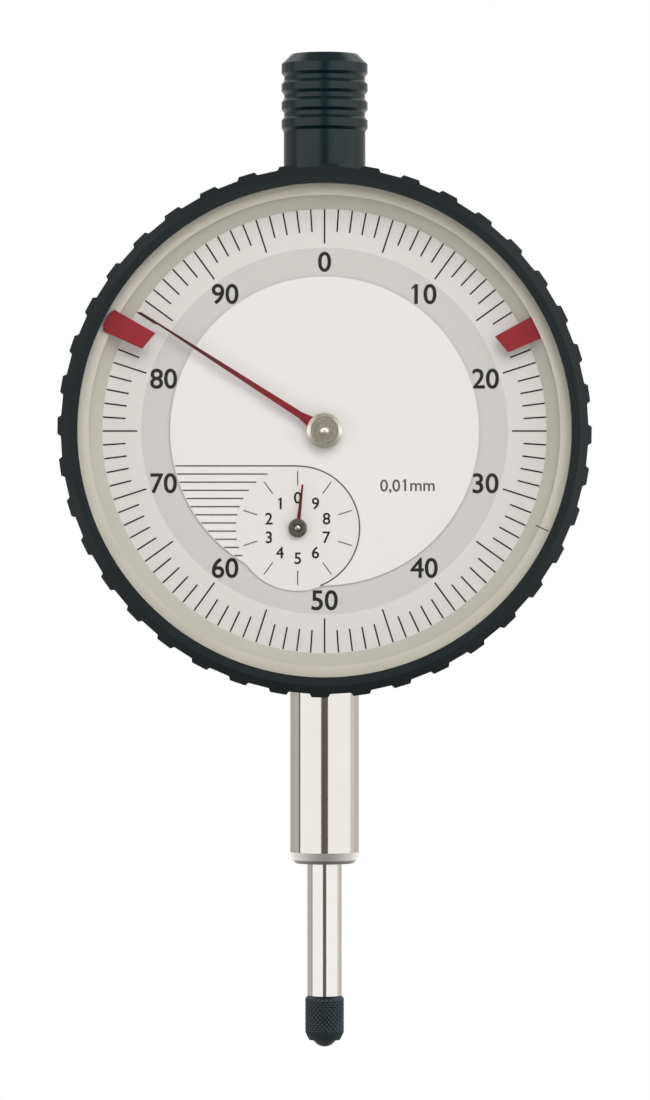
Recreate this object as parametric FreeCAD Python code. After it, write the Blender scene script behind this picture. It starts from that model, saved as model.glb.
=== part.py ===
import FreeCAD, Part
import math
import os
from FreeCAD import Vector

# Plunger dial indicator, 0.01 mm divisions. All sizes in millimetres.
# Origin: spindle axis, halfway along the clamping length of the mounting shank.
# +Z is up along the spindle, the dial faces -Y and +X is to the reader's right.
# Clock angles are in degrees, clockwise from twelve as the reader sees the dial.

# --- mounting shank, spindle and contact point
shank_diameter = 8.0
clamping_length = 18.8
shank_nose_length = 1.3
shank_nose_diameter = 6.8
shank_nose_step = 0.4           # height of the blunter lower part of the nose
shank_nose_step_diameter = 7.6
shank_seat_diameter = 7.2
shank_seat_length = 4.4
spindle_diameter = 4.0
spindle_reach = 15.2            # from the shank's nose to the contact point's shoulder
travel = 10.3
guide_clearance = 0.03          # radial, spindle in its two bushes
free_clearance = 0.35           # radial, where the spindle must not touch
bush_wall = 0.6
bush_length = 8.0
contact_diameter = 4.45
contact_length = 4.2
contact_taper_length = 0.9
contact_chamfer = 0.3
contact_tip_diameter = 3.6
contact_thread_diameter = 2.5
contact_thread_length = 5.0
thread_clearance = 0.05
ball_diameter = 3.0
ball_reach = 0.8                # ball standing out below the contact's rim

# --- dial, bezel and case
dial_face = 10.4                # scale ring's printed face in front of the spindle axis
case_diameter = 56.7
case_wall = 2.0
case_depth_back = 7.2           # case rim behind the spindle axis
case_depth_front = 9.0
back_cover_thickness = 1.8
back_cover_edge = 0.6
back_cover_spigot = 1.2
spigot_clearance = 0.15
gasket_width = 0.85
gasket_height = 0.6
gasket_clearance = 0.05
bezel_wall = 1.2                # between bore and lobe valleys
lobe_depth = 0.4
lobe_count = 40
lobe_pitch_share = 3.5 / 9.0    # crest width over pitch
valley_pitch_share = 4.5 / 9.0
lobe_start_angle = 1.0
bezel_front = 15.5              # bezel's front face in front of the spindle axis
bezel_back = 6.8
bezel_rim_width = 0.95
bezel_lip = 0.7
bezel_lip_overlap = 0.7         # lip over the crystal's edge
bezel_clearance = 0.05          # radial, bezel on the case and rings in the bezel
crystal_thickness = 1.3
crystal_chamfer = 0.25
crystal_gasket_height = 0.5
crystal_gasket_width = 0.45
silver_ring_width = 1.85
silver_ring_thickness = 0.5
marker_slit_height = 0.6
marker_slit_wall = 0.6
cone_ring_width = 3.25          # at its foot
cone_foot_height = 0.15
scale_ring_thickness = 0.5
scale_ring_overlap = 0.95       # hidden below the centre disc's edge
retaining_ring_thickness = 0.6
retaining_ring_width = 1.6
centre_dial_diameter = 34.9
centre_dial_thickness = 0.15
centre_dial_gap = 0.1
dial_foot_diameter = 1.4
dial_foot_angles = (30.0, 210.0)
dial_foot_circle = 13.0
spring_wire_diameter = 0.44
spring_wire_opening = 24.0      # degrees left open in the bezel's spring ring

# --- movement
turns_counter_x = -3.03         # counter axis from the dial axis
turns_counter_z = -10.95
turns_counter_dial_radius = 7.1
travel_per_counter_turn = 10.0
rack_pinion_teeth = 16
wheel_teeth = 100
centre_pinion_teeth = 10
take_up_gaps = 4                # pinion gaps from the counter wheel round to the take-up wheel
pressure_angle = 20.0
backlash = 0.05
wheel_addendum = 0.8            # tooth heights in modules
wheel_dedendum = 1.15
leaf_addendum = 0.85
leaf_dedendum = 1.2
rack_pinion_width = 1.6
rack_run_out = 0.9
rack_spare_gaps = 2
wheel_thickness = 0.4
wheel_rim_width = 1.6
wheel_hub_diameter = 3.6
wheel_spokes = 4
wheel_spoke_width = 1.1
arbor_diameter = 1.5
front_pivot_diameter = 0.9
back_pivot_diameter = 0.6
pivot_clearance = 0.03
jewel_diameter = 2.0
base_plate_gap = 0.4            # to the bosses in the case
base_plate_thickness = 1.2
spindle_to_base_plate = 0.6
plate_spacing = 3.6
bridge_margin = 1.8             # bridge's edge outside the pillars' circle
bridge_thickness = 1.2
pillar_diameter = 2.8
pillar_circle = 15.8
pillar_angles = (275.0, 345.0, 125.0)
bridge_window_diameter = 9.0
bridge_window_circle = 11.3
bridge_window_angles = (75.0, 300.0)
counter_wheel_back = 4.9        # wheels' back faces in front of the spindle axis
take_up_wheel_back = 6.2
pinion_side_play = 0.15
hairspring_turns = 4.5
hairspring_inner_radius = 1.75
hairspring_outer_radius = 4.9
hairspring_thickness = 0.12
hairspring_width = 0.35
collet_diameter = 2.7
collet_width = 0.6
stud_diameter = 0.8
cock_arm_thickness = 1.0
cock_width = 5.2
cock_foot_near = 6.2
cock_foot_far = 11.2
cock_arm_gap = 1.2              # from the pinion's end face to the arm
cock_nose_diameter = 3.2

# --- spindle guide, stop and return spring
guide_pin_diameter = 1.2
guide_pin_drop = 4.7            # below the dial axis, spindle fully out
guide_pin_end = 7.4
guide_pin_depth = 1.5           # pressed this far into the spindle
rail_near = 3.0
rail_far = 4.8
rail_end_wall = 2.6
rail_slot_clearance = 0.06
rail_overrun = 0.5
rail_back = 2.4                 # rail's back face behind the spindle axis
spring_x = 6.2
spring_diameter = 2.4
spring_wire = 0.3
spring_coils = 10
spring_eye_diameter = 2.2
spring_span = 16.8              # from the guide pin down to the anchor post
spring_anchor_diameter = 1.2
spring_anchor_head = 1.8
spring_anchor_end = 1.4
bumper_thickness = 0.4
bumper_diameter = 6.8
bumper_clearance = 0.1          # radial, washer on the spindle
stop_collar_thickness = 1.0
stop_collar_diameter = 4.9

# --- neck tube and lifting cap
neck_diameter = 6.9
neck_seat_diameter = 6.0
neck_seat_length = 4.0
neck_bush_length = 6.0
neck_chamfer = 0.2
cap_diameter = 9.8
cap_groove_diameter = 9.2
cap_skirt_diameter = 9.27
cap_length = 14.6
cap_top_chamfer = 1.0
cap_top_wall = 1.6
cap_bore_clearance = 0.3
cap_to_case = 0.2
cap_to_neck = 0.6
cap_first_band = 6.0            # lowest band's centre above the skirt's lower rim
cap_band_height = 0.8
cap_band_pitch = 2.06
cap_band_count = 4
cap_band_flank = 0.3
cap_thread_diameter = 2.5
cap_thread_length = 1.0
case_collar = 0.95              # lower boss below the case's round wall
case_top_collar = 0.35
lower_boss_diameter = 12.0
upper_boss_diameter = 10.4

# --- screws
lug_inset = 3.75                # lug axis inside the case's inner wall
lug_diameter = 7.6
lug_angles = (45.0, 135.0, 225.0, 315.0)
screw_diameter = 1.9
screw_clearance = 0.05
base_screw_head_diameter = 3.2
base_screw_head_height = 0.9
base_screw_length = 3.6
cover_screw_head_diameter = 3.8
cover_screw_length = 5.6
bridge_screw_head_diameter = 2.6
bridge_screw_head_height = 0.7
bridge_screw_length = 2.6
bridge_screw_diameter = 1.2
small_screw_diameter = 0.9
small_screw_head_diameter = 1.7
small_screw_head_height = 0.6
small_screw_length = 2.6
slot_width = 0.35
slot_depth = 0.3

# --- pointers and tolerance markers
pointer_tip_gap = 0.4           # tip to the cone's foot
pointer_tail = 0.6
pointer_hub_diameter = 4.0
pointer_hub_height = 0.5
pointer_hub_chamfer = 0.12
pointer_root_width = 1.3
pointer_root_reach = 1.8
pointer_waist_width = 0.78
pointer_waist_reach = 3.2
pointer_tip_width = 0.16
pointer_thickness = 0.15
pointer_face = 11.85            # back face of the blade in front of the spindle axis
pointer_angle = 302.7
counter_pointer_length = 4.93
counter_pointer_root_width = 0.45
counter_pointer_tip_width = 0.2
counter_pointer_face = 11.2
counter_pointer_angle = 6.4
counter_hub_diameter = 2.1
counter_hub_height = 0.35
marker_thickness = 0.25
marker_reach = 4.9              # inwards from the silver ring
marker_outer_width = 2.75
marker_inner_width = 2.2
marker_slant = 1.1
marker_left_angle = 297.0
marker_right_angle = 64.0
marker_left_gap = 0.1           # left marker's outer end to the bezel's opening
marker_left_end_radius = 2.4    # its outer end is rounded
marker_right_hold = 0.9         # right marker's outer end inside the slit

# --- sizes that follow from those above
shank_radius = shank_diameter / 2
shank_top = clamping_length / 2
shank_nose_end = -shank_top - shank_nose_length
shank_inner_end = shank_top + shank_seat_length
spindle_radius = spindle_diameter / 2
bush_radius = spindle_radius + guide_clearance
contact_top = shank_nose_end - spindle_reach
case_radius = case_diameter / 2
case_inner_radius = case_radius - case_wall
dial_height = shank_top + case_collar + case_radius
case_top = dial_height + case_radius + case_top_collar
lug_circle = case_inner_radius - lug_inset
bezel_bore_radius = case_radius + bezel_clearance
bezel_diameter = 2 * (bezel_bore_radius + bezel_wall + lobe_depth)
bezel_opening_diameter = 2 * (bezel_bore_radius - bezel_lip_overlap)
ring_fit_radius = bezel_bore_radius - bezel_clearance
silver_ring_inner_diameter = 2 * (ring_fit_radius - silver_ring_width)
cone_foot_diameter = 2 * (ring_fit_radius - cone_ring_width)
scale_ring_inner_diameter = centre_dial_diameter - 2 * scale_ring_overlap
pointer_length = cone_foot_diameter / 2 - pointer_tip_gap
marker_inner_radius = silver_ring_inner_diameter / 2 - marker_reach
marker_left_outer_radius = bezel_opening_diameter / 2 - marker_left_gap
marker_right_outer_radius = silver_ring_inner_diameter / 2 + marker_right_hold
guide_pin_height = dial_height - guide_pin_drop
spring_anchor_height = guide_pin_height - spring_span
crystal_front = bezel_front - bezel_lip
crystal_back = crystal_front - crystal_thickness
silver_front = crystal_back - crystal_gasket_height
silver_back = silver_front - silver_ring_thickness
cone_front = silver_back - marker_slit_height
scale_back = dial_face - scale_ring_thickness
retaining_back = scale_back - retaining_ring_thickness
centre_dial_back = dial_face + centre_dial_gap
centre_dial_front = centre_dial_back + centre_dial_thickness
base_plate_diameter = 2 * (case_top - neck_seat_length - base_plate_gap - dial_height)
bridge_diameter = 2 * (pillar_circle + bridge_margin)
base_plate_back = spindle_radius + spindle_to_base_plate
base_plate_front = base_plate_back + base_plate_thickness
bridge_back = base_plate_front + plate_spacing
bridge_front = bridge_back + bridge_thickness
cover_seat = case_depth_back - back_cover_spigot
cover_face = case_depth_back + back_cover_thickness
counter_x = turns_counter_x
counter_z = dial_height + turns_counter_z
train_distance = math.hypot(turns_counter_x, turns_counter_z)
train_module = 2 * train_distance / (wheel_teeth + centre_pinion_teeth)
counter_direction = math.degrees(math.atan2(turns_counter_x, turns_counter_z))
take_up_direction = counter_direction - take_up_gaps * 360.0 / centre_pinion_teeth
take_up_x = train_distance * math.sin(math.radians(take_up_direction))
take_up_z = dial_height + train_distance * math.cos(math.radians(take_up_direction))
rack_module = travel_per_counter_turn / (math.pi * rack_pinion_teeth)
rack_pitch_radius = rack_module * rack_pinion_teeth / 2
rack_line_x = counter_x + rack_pitch_radius
cock_arm_near = rack_pinion_width / 2 + cock_arm_gap
cock_arm_far = cock_arm_near + cock_arm_thickness
cap_bottom = case_top + cap_to_case
cap_top = cap_bottom + cap_length
cap_ceiling = cap_top - cap_top_wall
neck_top = cap_ceiling - cap_to_neck
neck_bottom = case_top - neck_seat_length


def clock_point(angle, radius, centre=(0.0, dial_height)):
    """Point at a clock angle and radius round a centre, as (x, z)."""
    turn = math.radians(angle)
    return centre[0] + radius * math.sin(turn), centre[1] + radius * math.cos(turn)


def turned_y(outline, centre=(0.0, dial_height)):
    """Solid turned about an axis along Y; outline points are (radius, depth in front)."""
    points = [Vector(centre[0] + radius, -depth, centre[1]) for radius, depth in outline]
    face = Part.Face(Part.makePolygon(points + points[:1]))
    return face.revolve(Vector(centre[0], 0, centre[1]), Vector(0, 1, 0), 360)


def turned_z(outline, centre=(0.0, 0.0)):
    """Solid turned about an axis along Z; outline points are (radius, height)."""
    points = [Vector(centre[0] + radius, centre[1], height) for radius, height in outline]
    face = Part.Face(Part.makePolygon(points + points[:1]))
    return face.revolve(Vector(centre[0], centre[1], 0), Vector(0, 0, 1), 360)


def rod_y(radius, back, front, centre=(0.0, dial_height)):
    """Cylinder along Y between two depths in front of the spindle axis."""
    base = Vector(centre[0], -front, centre[1])
    return Part.makeCylinder(radius, front - back, base, Vector(0, 1, 0))


def rod_z(radius, bottom, top):
    """Cylinder on the spindle axis."""
    return Part.makeCylinder(radius, top - bottom, Vector(0, 0, bottom), Vector(0, 0, 1))


def ring_y(outer, inner, back, front, centre=(0.0, dial_height)):
    """Flat ring along Y between two depths in front of the spindle axis."""
    return turned_y([(inner, back), (outer, back), (outer, front), (inner, front)], centre)


def plate_y(outline, back, front):
    """Flat plate with an outline of (x, z) points between two depths."""
    points = [Vector(x, -front, z) for x, z in outline]
    face = Part.Face(Part.makePolygon(points + points[:1]))
    return face.extrude(Vector(0, front - back, 0))


def block(x_low, x_high, back, front, z_low, z_high):
    """Block between two places in x, two depths and two heights."""
    corner = Vector(x_low, -front, z_low)
    return Part.makeBox(x_high - x_low, front - back, z_high - z_low, corner)


def blade(angle, stations, back, front, centre=(0.0, dial_height)):
    """Flat blade along a clock angle; stations are (distance, left side, right side)."""
    turn = math.radians(angle)
    along = (math.sin(turn), math.cos(turn))
    across = (math.cos(turn), -math.sin(turn))

    def place(distance, side):
        return (centre[0] + distance * along[0] + side * across[0],
                centre[1] + distance * along[1] + side * across[1])

    left = [place(distance, side) for distance, side, _ in stations]
    right = [place(distance, side) for distance, _, side in stations]
    return plate_y(left + right[::-1], back, front)


def wire_section(across, along, radius):
    """Six-sided section of a thin wire round a point."""
    return [(across + radius * math.cos(step * math.pi / 3),
             along + radius * math.sin(step * math.pi / 3)) for step in range(6)]


def wire_eye(centre, axis, loop_radius, wire_radius):
    """Closed eye of thin wire round an axis through its centre."""
    side = Vector(0, 0, 1)
    points = [centre + side * across + axis * along
              for across, along in wire_section(loop_radius, 0.0, wire_radius)]
    return Part.Face(Part.makePolygon(points + points[:1])).revolve(centre, axis, 360)


def slotted_screws(places, head_radius, head_back, head_front, radius, tip):
    """Cheese-head screws at (x, z) places, heads between two depths, tips behind them."""
    screws = []
    for place in places:
        head = rod_y(head_radius, head_back, head_front, place)
        screw = head.fuse(rod_y(radius, tip, head_back, place))
        slot = block(place[0] - head_radius, place[0] + head_radius, head_front - slot_depth,
                     head_front, place[1] - slot_width / 2, place[1] + slot_width / 2)
        screws.append(screw.cut(slot))
    return Part.makeCompound(screws)


# --- toothed parts

def involute(angle):
    return math.tan(angle) - angle


def flank_angle(radius, teeth, module):
    """Half the angle that a tooth covers at a radius, with its share of the backlash."""
    pitch_radius = module * teeth / 2
    base_radius = pitch_radius * math.cos(math.radians(pressure_angle))
    half = (math.pi * module / 2 - backlash) / 2 / pitch_radius
    at_radius = math.acos(min(1.0, base_radius / radius))
    return half + involute(math.radians(pressure_angle)) - involute(at_radius)


def gear_outline(teeth, module, addendum, dedendum, centre, first_angle, fine):
    """Outline of a gear with involute flanks, one tooth centred on first_angle."""
    pitch_radius = module * teeth / 2
    root = pitch_radius - dedendum * module
    tip = pitch_radius + addendum * module
    radii = [root, tip]
    if fine:
        base = pitch_radius * math.cos(math.radians(pressure_angle))
        radii = sorted({root, max(root, base), pitch_radius, tip})
    points = []
    for tooth in range(teeth):
        middle = first_angle + tooth * 360.0 / teeth
        for radius in radii:
            points.append((middle - math.degrees(flank_angle(radius, teeth, module)), radius))
        for radius in radii[::-1]:
            points.append((middle + math.degrees(flank_angle(radius, teeth, module)), radius))
    return [clock_point(angle, radius, centre) for angle, radius in points]


def spoked_wheel(centre, back, first_angle):
    """Thin wheel with a toothed rim, round windows between spokes, and a hub."""
    front = back + wheel_thickness
    outline = gear_outline(wheel_teeth, train_module, wheel_addendum, wheel_dedendum,
                           centre, first_angle, False)
    wheel = plate_y(outline, back, front)
    rim_inner = train_module * wheel_teeth / 2 - wheel_rim_width
    window = ring_y(rim_inner, wheel_hub_diameter / 2, back, front, centre)
    spoke_span = 2 * rim_inner
    for spoke in range(wheel_spokes // 2):
        bar = block(centre[0] - spoke_span, centre[0] + spoke_span, back, front,
                    centre[1] - wheel_spoke_width / 2, centre[1] + wheel_spoke_width / 2)
        bar.rotate(Vector(centre[0], 0, centre[1]), Vector(0, 1, 0),
                   spoke * 360.0 / wheel_spokes + first_angle)
        window = window.cut(bar)
    wheel = wheel.cut(window)
    return wheel.cut(rod_y(arbor_diameter / 2, back, front, centre))


# --- housing

def case_body():
    """Cast ring with bosses for shank and neck tube and four screw lugs."""
    lug_radius = lug_diameter / 2
    case = ring_y(case_radius, case_inner_radius, -case_depth_back, case_depth_front)
    drum = rod_y(case_radius, -case_depth_back, case_depth_front)
    for angle in lug_angles:
        place = clock_point(angle, lug_circle)
        case = case.fuse(rod_y(lug_radius, -cover_seat, base_plate_back, place).common(drum))
    case = case.fuse(rod_z(lower_boss_diameter / 2, shank_top, shank_inner_end))
    case = case.fuse(rod_z(upper_boss_diameter / 2, neck_bottom, case_top))
    case = case.cut(rod_z(shank_seat_diameter / 2, shank_top, dial_height))
    case = case.cut(rod_z(neck_seat_diameter / 2, neck_bottom, case_top))
    hole = screw_diameter / 2 + screw_clearance
    for angle in lug_angles:
        place = clock_point(angle, lug_circle)
        front_tip = base_plate_front - base_screw_length - screw_clearance
        case = case.cut(rod_y(hole, front_tip, base_plate_back, place))
        back_tip = -cover_face + cover_screw_length + screw_clearance
        case = case.cut(rod_y(hole, -cover_seat, back_tip, place))
    groove_middle = (bezel_back + case_depth_front) / 2
    wire = spring_wire_diameter / 2
    groove = ring_y(case_radius, case_radius - 2 * wire - screw_clearance,
                    groove_middle - wire - screw_clearance,
                    groove_middle + wire + screw_clearance)
    return case.cut(groove).removeSplitter()


def mounting_shank():
    """Steel tube clamped by the user, with a rounded nose and a seat in the case."""
    radius = shank_radius
    bore = bush_radius + bush_wall
    seat = shank_seat_diameter / 2
    nose = shank_nose_diameter / 2
    return turned_z([
        (bore, shank_nose_end), (nose, shank_nose_end),
        (shank_nose_step_diameter / 2, shank_nose_end + shank_nose_step),
        (radius, -shank_top), (radius, shank_top), (seat, shank_top),
        (seat, shank_inner_end), (bore, shank_inner_end)])


def shank_guide_bush():
    """Bronze bush in the mouth of the shank that guides the spindle."""
    outer = bush_radius + bush_wall
    top = shank_nose_end + bush_length
    return turned_z([(bush_radius, shank_nose_end), (outer, shank_nose_end),
                     (outer, top), (bush_radius, top)])


def bumper_washer():
    """Rubber washer on the shank's inner end that the stop collar lands on."""
    inner = spindle_radius + bumper_clearance
    top = shank_inner_end + bumper_thickness
    return turned_z([(inner, shank_inner_end), (bumper_diameter / 2, shank_inner_end),
                     (bumper_diameter / 2, top), (inner, top)])


def neck_tube():
    """Tube above the case; its top guides the spindle and its outside clears the cap."""
    free = spindle_radius + free_clearance
    seat = neck_seat_diameter / 2
    outer = neck_diameter / 2
    bush_bottom = neck_top - neck_bush_length
    return turned_z([
        (free, neck_bottom), (seat, neck_bottom), (seat, case_top), (outer, case_top),
        (outer, neck_top - neck_chamfer), (outer - neck_chamfer, neck_top),
        (bush_radius, neck_top), (bush_radius, bush_bottom), (free, bush_bottom)])


def back_cover():
    """Round cover with a chamfered edge, a spigot into the case and a gasket groove."""
    spigot = case_inner_radius - spigot_clearance
    edge = back_cover_edge
    groove = gasket_section()
    cover = turned_y([
        (0, -cover_seat), (spigot, -cover_seat), (spigot, -case_depth_back),
        (case_radius, -case_depth_back), (case_radius, -cover_face + edge),
        (case_radius - edge, -cover_face), (0, -cover_face)])
    cover = cover.cut(turned_y(groove))
    hole = screw_diameter / 2 + screw_clearance
    head = cover_screw_head_diameter / 2 + screw_clearance
    for angle in lug_angles:
        place = clock_point(angle, lug_circle)
        cover = cover.cut(rod_y(hole, -cover_face, -cover_seat, place))
        sink = turned_y([(0, -cover_face), (head, -cover_face),
                         (hole, -cover_face + head - hole), (0, -cover_face + head - hole)], place)
        cover = cover.cut(sink)
    return cover


def gasket_section():
    """Rectangular groove round the cover's spigot, also the gasket's own section."""
    outer = case_inner_radius - gasket_clearance
    inner = outer - gasket_width
    back = -case_depth_back + (back_cover_spigot - gasket_height) / 2
    front = back + gasket_height
    return [(inner, back), (outer, back), (outer, front), (inner, front)]


def back_cover_gasket():
    """Rubber ring between the cover's spigot and the case."""
    return turned_y(gasket_section())


def back_cover_screws():
    """Countersunk screws, flush with the back of the cover."""
    head = cover_screw_head_diameter / 2
    radius = screw_diameter / 2
    top = -cover_face + screw_clearance / 2
    tip = -cover_face + cover_screw_length
    screws = []
    for angle in lug_angles:
        place = clock_point(angle, lug_circle)
        screw = turned_y([(0, top), (head, top), (radius, top + head - radius),
                          (radius, tip), (0, tip)], place)
        slot = block(place[0] - head, place[0] + head, top, top + slot_depth,
                     place[1] - slot_width / 2, place[1] + slot_width / 2)
        screws.append(screw.cut(slot))
    return Part.makeCompound(screws)


def bezel_spring_ring():
    """Open wire ring in the case's groove that holds the bezel and gives it its drag."""
    wire = spring_wire_diameter / 2
    middle = (bezel_back + case_depth_front) / 2
    loop_radius = case_radius - wire / 2
    points = [Vector(x, -depth, dial_height) for x, depth in wire_section(loop_radius, middle, wire)]
    face = Part.Face(Part.makePolygon(points + points[:1]))
    return face.revolve(Vector(0, 0, dial_height), Vector(0, 1, 0), 360 - spring_wire_opening)


# --- movement

def base_plate():
    """Plate in front of the spindle that carries the whole movement."""
    plate = rod_y(base_plate_diameter / 2, base_plate_back, base_plate_front)
    hole = screw_diameter / 2 + screw_clearance
    for angle in lug_angles:
        plate = plate.cut(rod_y(hole, base_plate_back, base_plate_front,
                                clock_point(angle, lug_circle)))
    arbor_hole = arbor_diameter / 2 + free_clearance
    plate = plate.cut(rod_y(arbor_hole, base_plate_back, base_plate_front, counter_place()))
    for place in ((0.0, dial_height), take_up_place()):
        plate = plate.cut(rod_y(jewel_diameter / 2, base_plate_back, base_plate_front, place))
    small = small_screw_diameter / 2 + screw_clearance
    for place in small_screw_places():
        plate = plate.cut(rod_y(small, base_plate_back, base_plate_front, place))
    return plate


def counter_place():
    return counter_x, counter_z


def take_up_place():
    return take_up_x, take_up_z


def cock_screw_places():
    middle = -(cock_foot_near + cock_foot_far) / 2
    return [(middle, counter_z - cock_width / 4), (middle, counter_z + cock_width / 4)]


def rail_bounds():
    """Lowest and highest ends of the guide rail's slot."""
    reach = guide_pin_diameter / 2 + rail_overrun
    return guide_pin_height - reach, guide_pin_height + travel + reach


def rail_screw_places():
    low, high = rail_bounds()
    middle = (rail_near + rail_far) / 2
    return [(middle, low - rail_end_wall / 2), (middle, high + rail_end_wall / 2)]


def small_screw_places():
    return cock_screw_places() + rail_screw_places()


def base_plate_screws():
    """Cheese-head screws that hold the base plate on the case's lugs."""
    places = [clock_point(angle, lug_circle) for angle in lug_angles]
    return slotted_screws(places, base_screw_head_diameter / 2, base_plate_front,
                          base_plate_front + base_screw_head_height, screw_diameter / 2,
                          base_plate_front - base_screw_length)


def small_movement_screws():
    """Small screws that hold the cock and the guide rail behind the base plate."""
    return slotted_screws(small_screw_places(), small_screw_head_diameter / 2, base_plate_front,
                          base_plate_front + small_screw_head_height, small_screw_diameter / 2,
                          base_plate_front - small_screw_length)


def bridge_pillars():
    """Pillars between base plate and bridge, bored for the bridge's screws."""
    pillars = []
    hole = bridge_screw_diameter / 2 + screw_clearance
    screw_tip = bridge_front - bridge_screw_length - screw_clearance
    for angle in pillar_angles:
        place = clock_point(angle, pillar_circle)
        pillar = rod_y(pillar_diameter / 2, base_plate_front, bridge_back, place)
        pillars.append(pillar.cut(rod_y(hole, screw_tip, bridge_back, place)))
    return Part.makeCompound(pillars)


def bridge_screws():
    """Cheese-head screws through the bridge into its pillars."""
    places = [clock_point(angle, pillar_circle) for angle in pillar_angles]
    return slotted_screws(places, bridge_screw_head_diameter / 2, bridge_front,
                          bridge_front + bridge_screw_head_height, bridge_screw_diameter / 2,
                          bridge_front - bridge_screw_length)


def movement_bridge():
    """Front plate with the front bearings of the three arbors and the dial's feet."""
    bridge = rod_y(bridge_diameter / 2, bridge_back, bridge_front)
    for place in ((0.0, dial_height), take_up_place(), counter_place()):
        bridge = bridge.cut(rod_y(jewel_diameter / 2, bridge_back, bridge_front, place))
    screw_hole = bridge_screw_diameter / 2 + screw_clearance
    for angle in pillar_angles:
        bridge = bridge.cut(rod_y(screw_hole, bridge_back, bridge_front,
                                  clock_point(angle, pillar_circle)))
    for angle in bridge_window_angles:
        bridge = bridge.cut(rod_y(bridge_window_diameter / 2, bridge_back, bridge_front,
                                  clock_point(angle, bridge_window_circle)))
    foot_hole = dial_foot_diameter / 2 + screw_clearance
    for angle in dial_foot_angles:
        bridge = bridge.cut(rod_y(foot_hole, bridge_back, bridge_front,
                                  clock_point(angle, dial_foot_circle)))
    return bridge


def pivot_jewels():
    """Bearing jewels: three in the bridge, two in the base plate, one in the cock."""
    outer = jewel_diameter / 2
    front_hole = front_pivot_diameter / 2 + pivot_clearance
    back_hole = back_pivot_diameter / 2 + pivot_clearance
    centre = (0.0, dial_height)
    jewels = [ring_y(outer, front_hole, bridge_back, bridge_front, place)
              for place in (centre, take_up_place(), counter_place())]
    jewels += [ring_y(outer, back_hole, base_plate_back, base_plate_front, place)
               for place in (centre, take_up_place())]
    jewels.append(ring_y(outer, back_hole, -cock_arm_far, -cock_arm_near, counter_place()))
    return Part.makeCompound(jewels)


def rack_pinion_cock():
    """Bracket behind the base plate that holds the rack pinion's back bearing."""
    z_low = counter_z - cock_width / 2
    z_high = counter_z + cock_width / 2
    foot = block(-cock_foot_far, -cock_foot_near, -cock_arm_far, base_plate_back, z_low, z_high)
    half = cock_nose_diameter / 2
    arm = block(-cock_foot_near, counter_x, -cock_arm_far, -cock_arm_near,
                counter_z - half, counter_z + half)
    nose = rod_y(half, -cock_arm_far, -cock_arm_near, counter_place())
    cock = foot.fuse(arm).fuse(nose).removeSplitter()
    cock = cock.cut(rod_y(jewel_diameter / 2, -cock_arm_far, -cock_arm_near, counter_place()))
    hole = small_screw_diameter / 2 + screw_clearance
    tip = base_plate_front - small_screw_length - screw_clearance
    for place in cock_screw_places():
        cock = cock.cut(rod_y(hole, tip, base_plate_back, place))
    return cock


def rack_pinion_arbor():
    """Sixteen-leaf pinion on a long arbor that comes through the dial to the counter."""
    half = rack_pinion_width / 2
    root = arbor_diameter / 2
    back_pivot = back_pivot_diameter / 2
    front_pivot = front_pivot_diameter / 2
    end = counter_pointer_face + counter_hub_height
    arbor = turned_y([
        (0, -cock_arm_far), (back_pivot, -cock_arm_far), (back_pivot, -cock_arm_near + pinion_side_play),
        (root, -cock_arm_near + pinion_side_play), (root, bridge_back - pinion_side_play),
        (front_pivot, bridge_back - pinion_side_play), (front_pivot, end), (0, end)],
        counter_place())
    toward_rack = 90.0
    outline = gear_outline(rack_pinion_teeth, rack_module, leaf_addendum, leaf_dedendum,
                           counter_place(), toward_rack, True)
    return arbor.fuse(plate_y(outline, -half, half))


def counter_wheel():
    """Wheel on the rack pinion's arbor that drives the centre pinion."""
    return spoked_wheel(counter_place(), counter_wheel_back, counter_direction + 180.0)


def take_up_wheel():
    """Wheel loaded by the hairspring so that the train never shows its backlash."""
    return spoked_wheel(take_up_place(), take_up_wheel_back, take_up_direction + 180.0)


def centre_arbor():
    """Ten-leaf pinion with a back pivot in the base plate and a front end for the pointer."""
    root = train_module * (centre_pinion_teeth / 2 - leaf_dedendum)
    back_pivot = back_pivot_diameter / 2
    front_pivot = front_pivot_diameter / 2
    end = pointer_face + pointer_hub_height
    arbor = turned_y([
        (0, base_plate_back), (back_pivot, base_plate_back),
        (back_pivot, base_plate_front + pinion_side_play),
        (root, base_plate_front + pinion_side_play), (root, bridge_back - pinion_side_play),
        (front_pivot, bridge_back - pinion_side_play), (front_pivot, end), (0, end)])
    gap_to_tooth = 180.0 / centre_pinion_teeth
    outline = gear_outline(centre_pinion_teeth, train_module, leaf_addendum, leaf_dedendum,
                           (0.0, dial_height), counter_direction + gap_to_tooth, True)
    leaves = plate_y(outline, base_plate_front + 3 * pinion_side_play,
                     bridge_back - 2 * pinion_side_play)
    return arbor.fuse(leaves)


def take_up_arbor():
    """Plain arbor of the take-up wheel."""
    root = arbor_diameter / 2
    back_pivot = back_pivot_diameter / 2
    front_pivot = front_pivot_diameter / 2
    return turned_y([
        (0, base_plate_back), (back_pivot, base_plate_back),
        (back_pivot, base_plate_front + pinion_side_play),
        (root, base_plate_front + pinion_side_play), (root, bridge_back - pinion_side_play),
        (front_pivot, bridge_back - pinion_side_play), (front_pivot, bridge_front),
        (0, bridge_front)], take_up_place())


def hairspring_back():
    return base_plate_front + (take_up_wheel_back - base_plate_front - hairspring_width) / 2


def hairspring_collet():
    """Brass ring on the take-up arbor inside the hairspring."""
    middle = hairspring_back() + hairspring_width / 2
    return ring_y(collet_diameter / 2, arbor_diameter / 2, middle - collet_width / 2,
                  middle + collet_width / 2, take_up_place())


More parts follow.
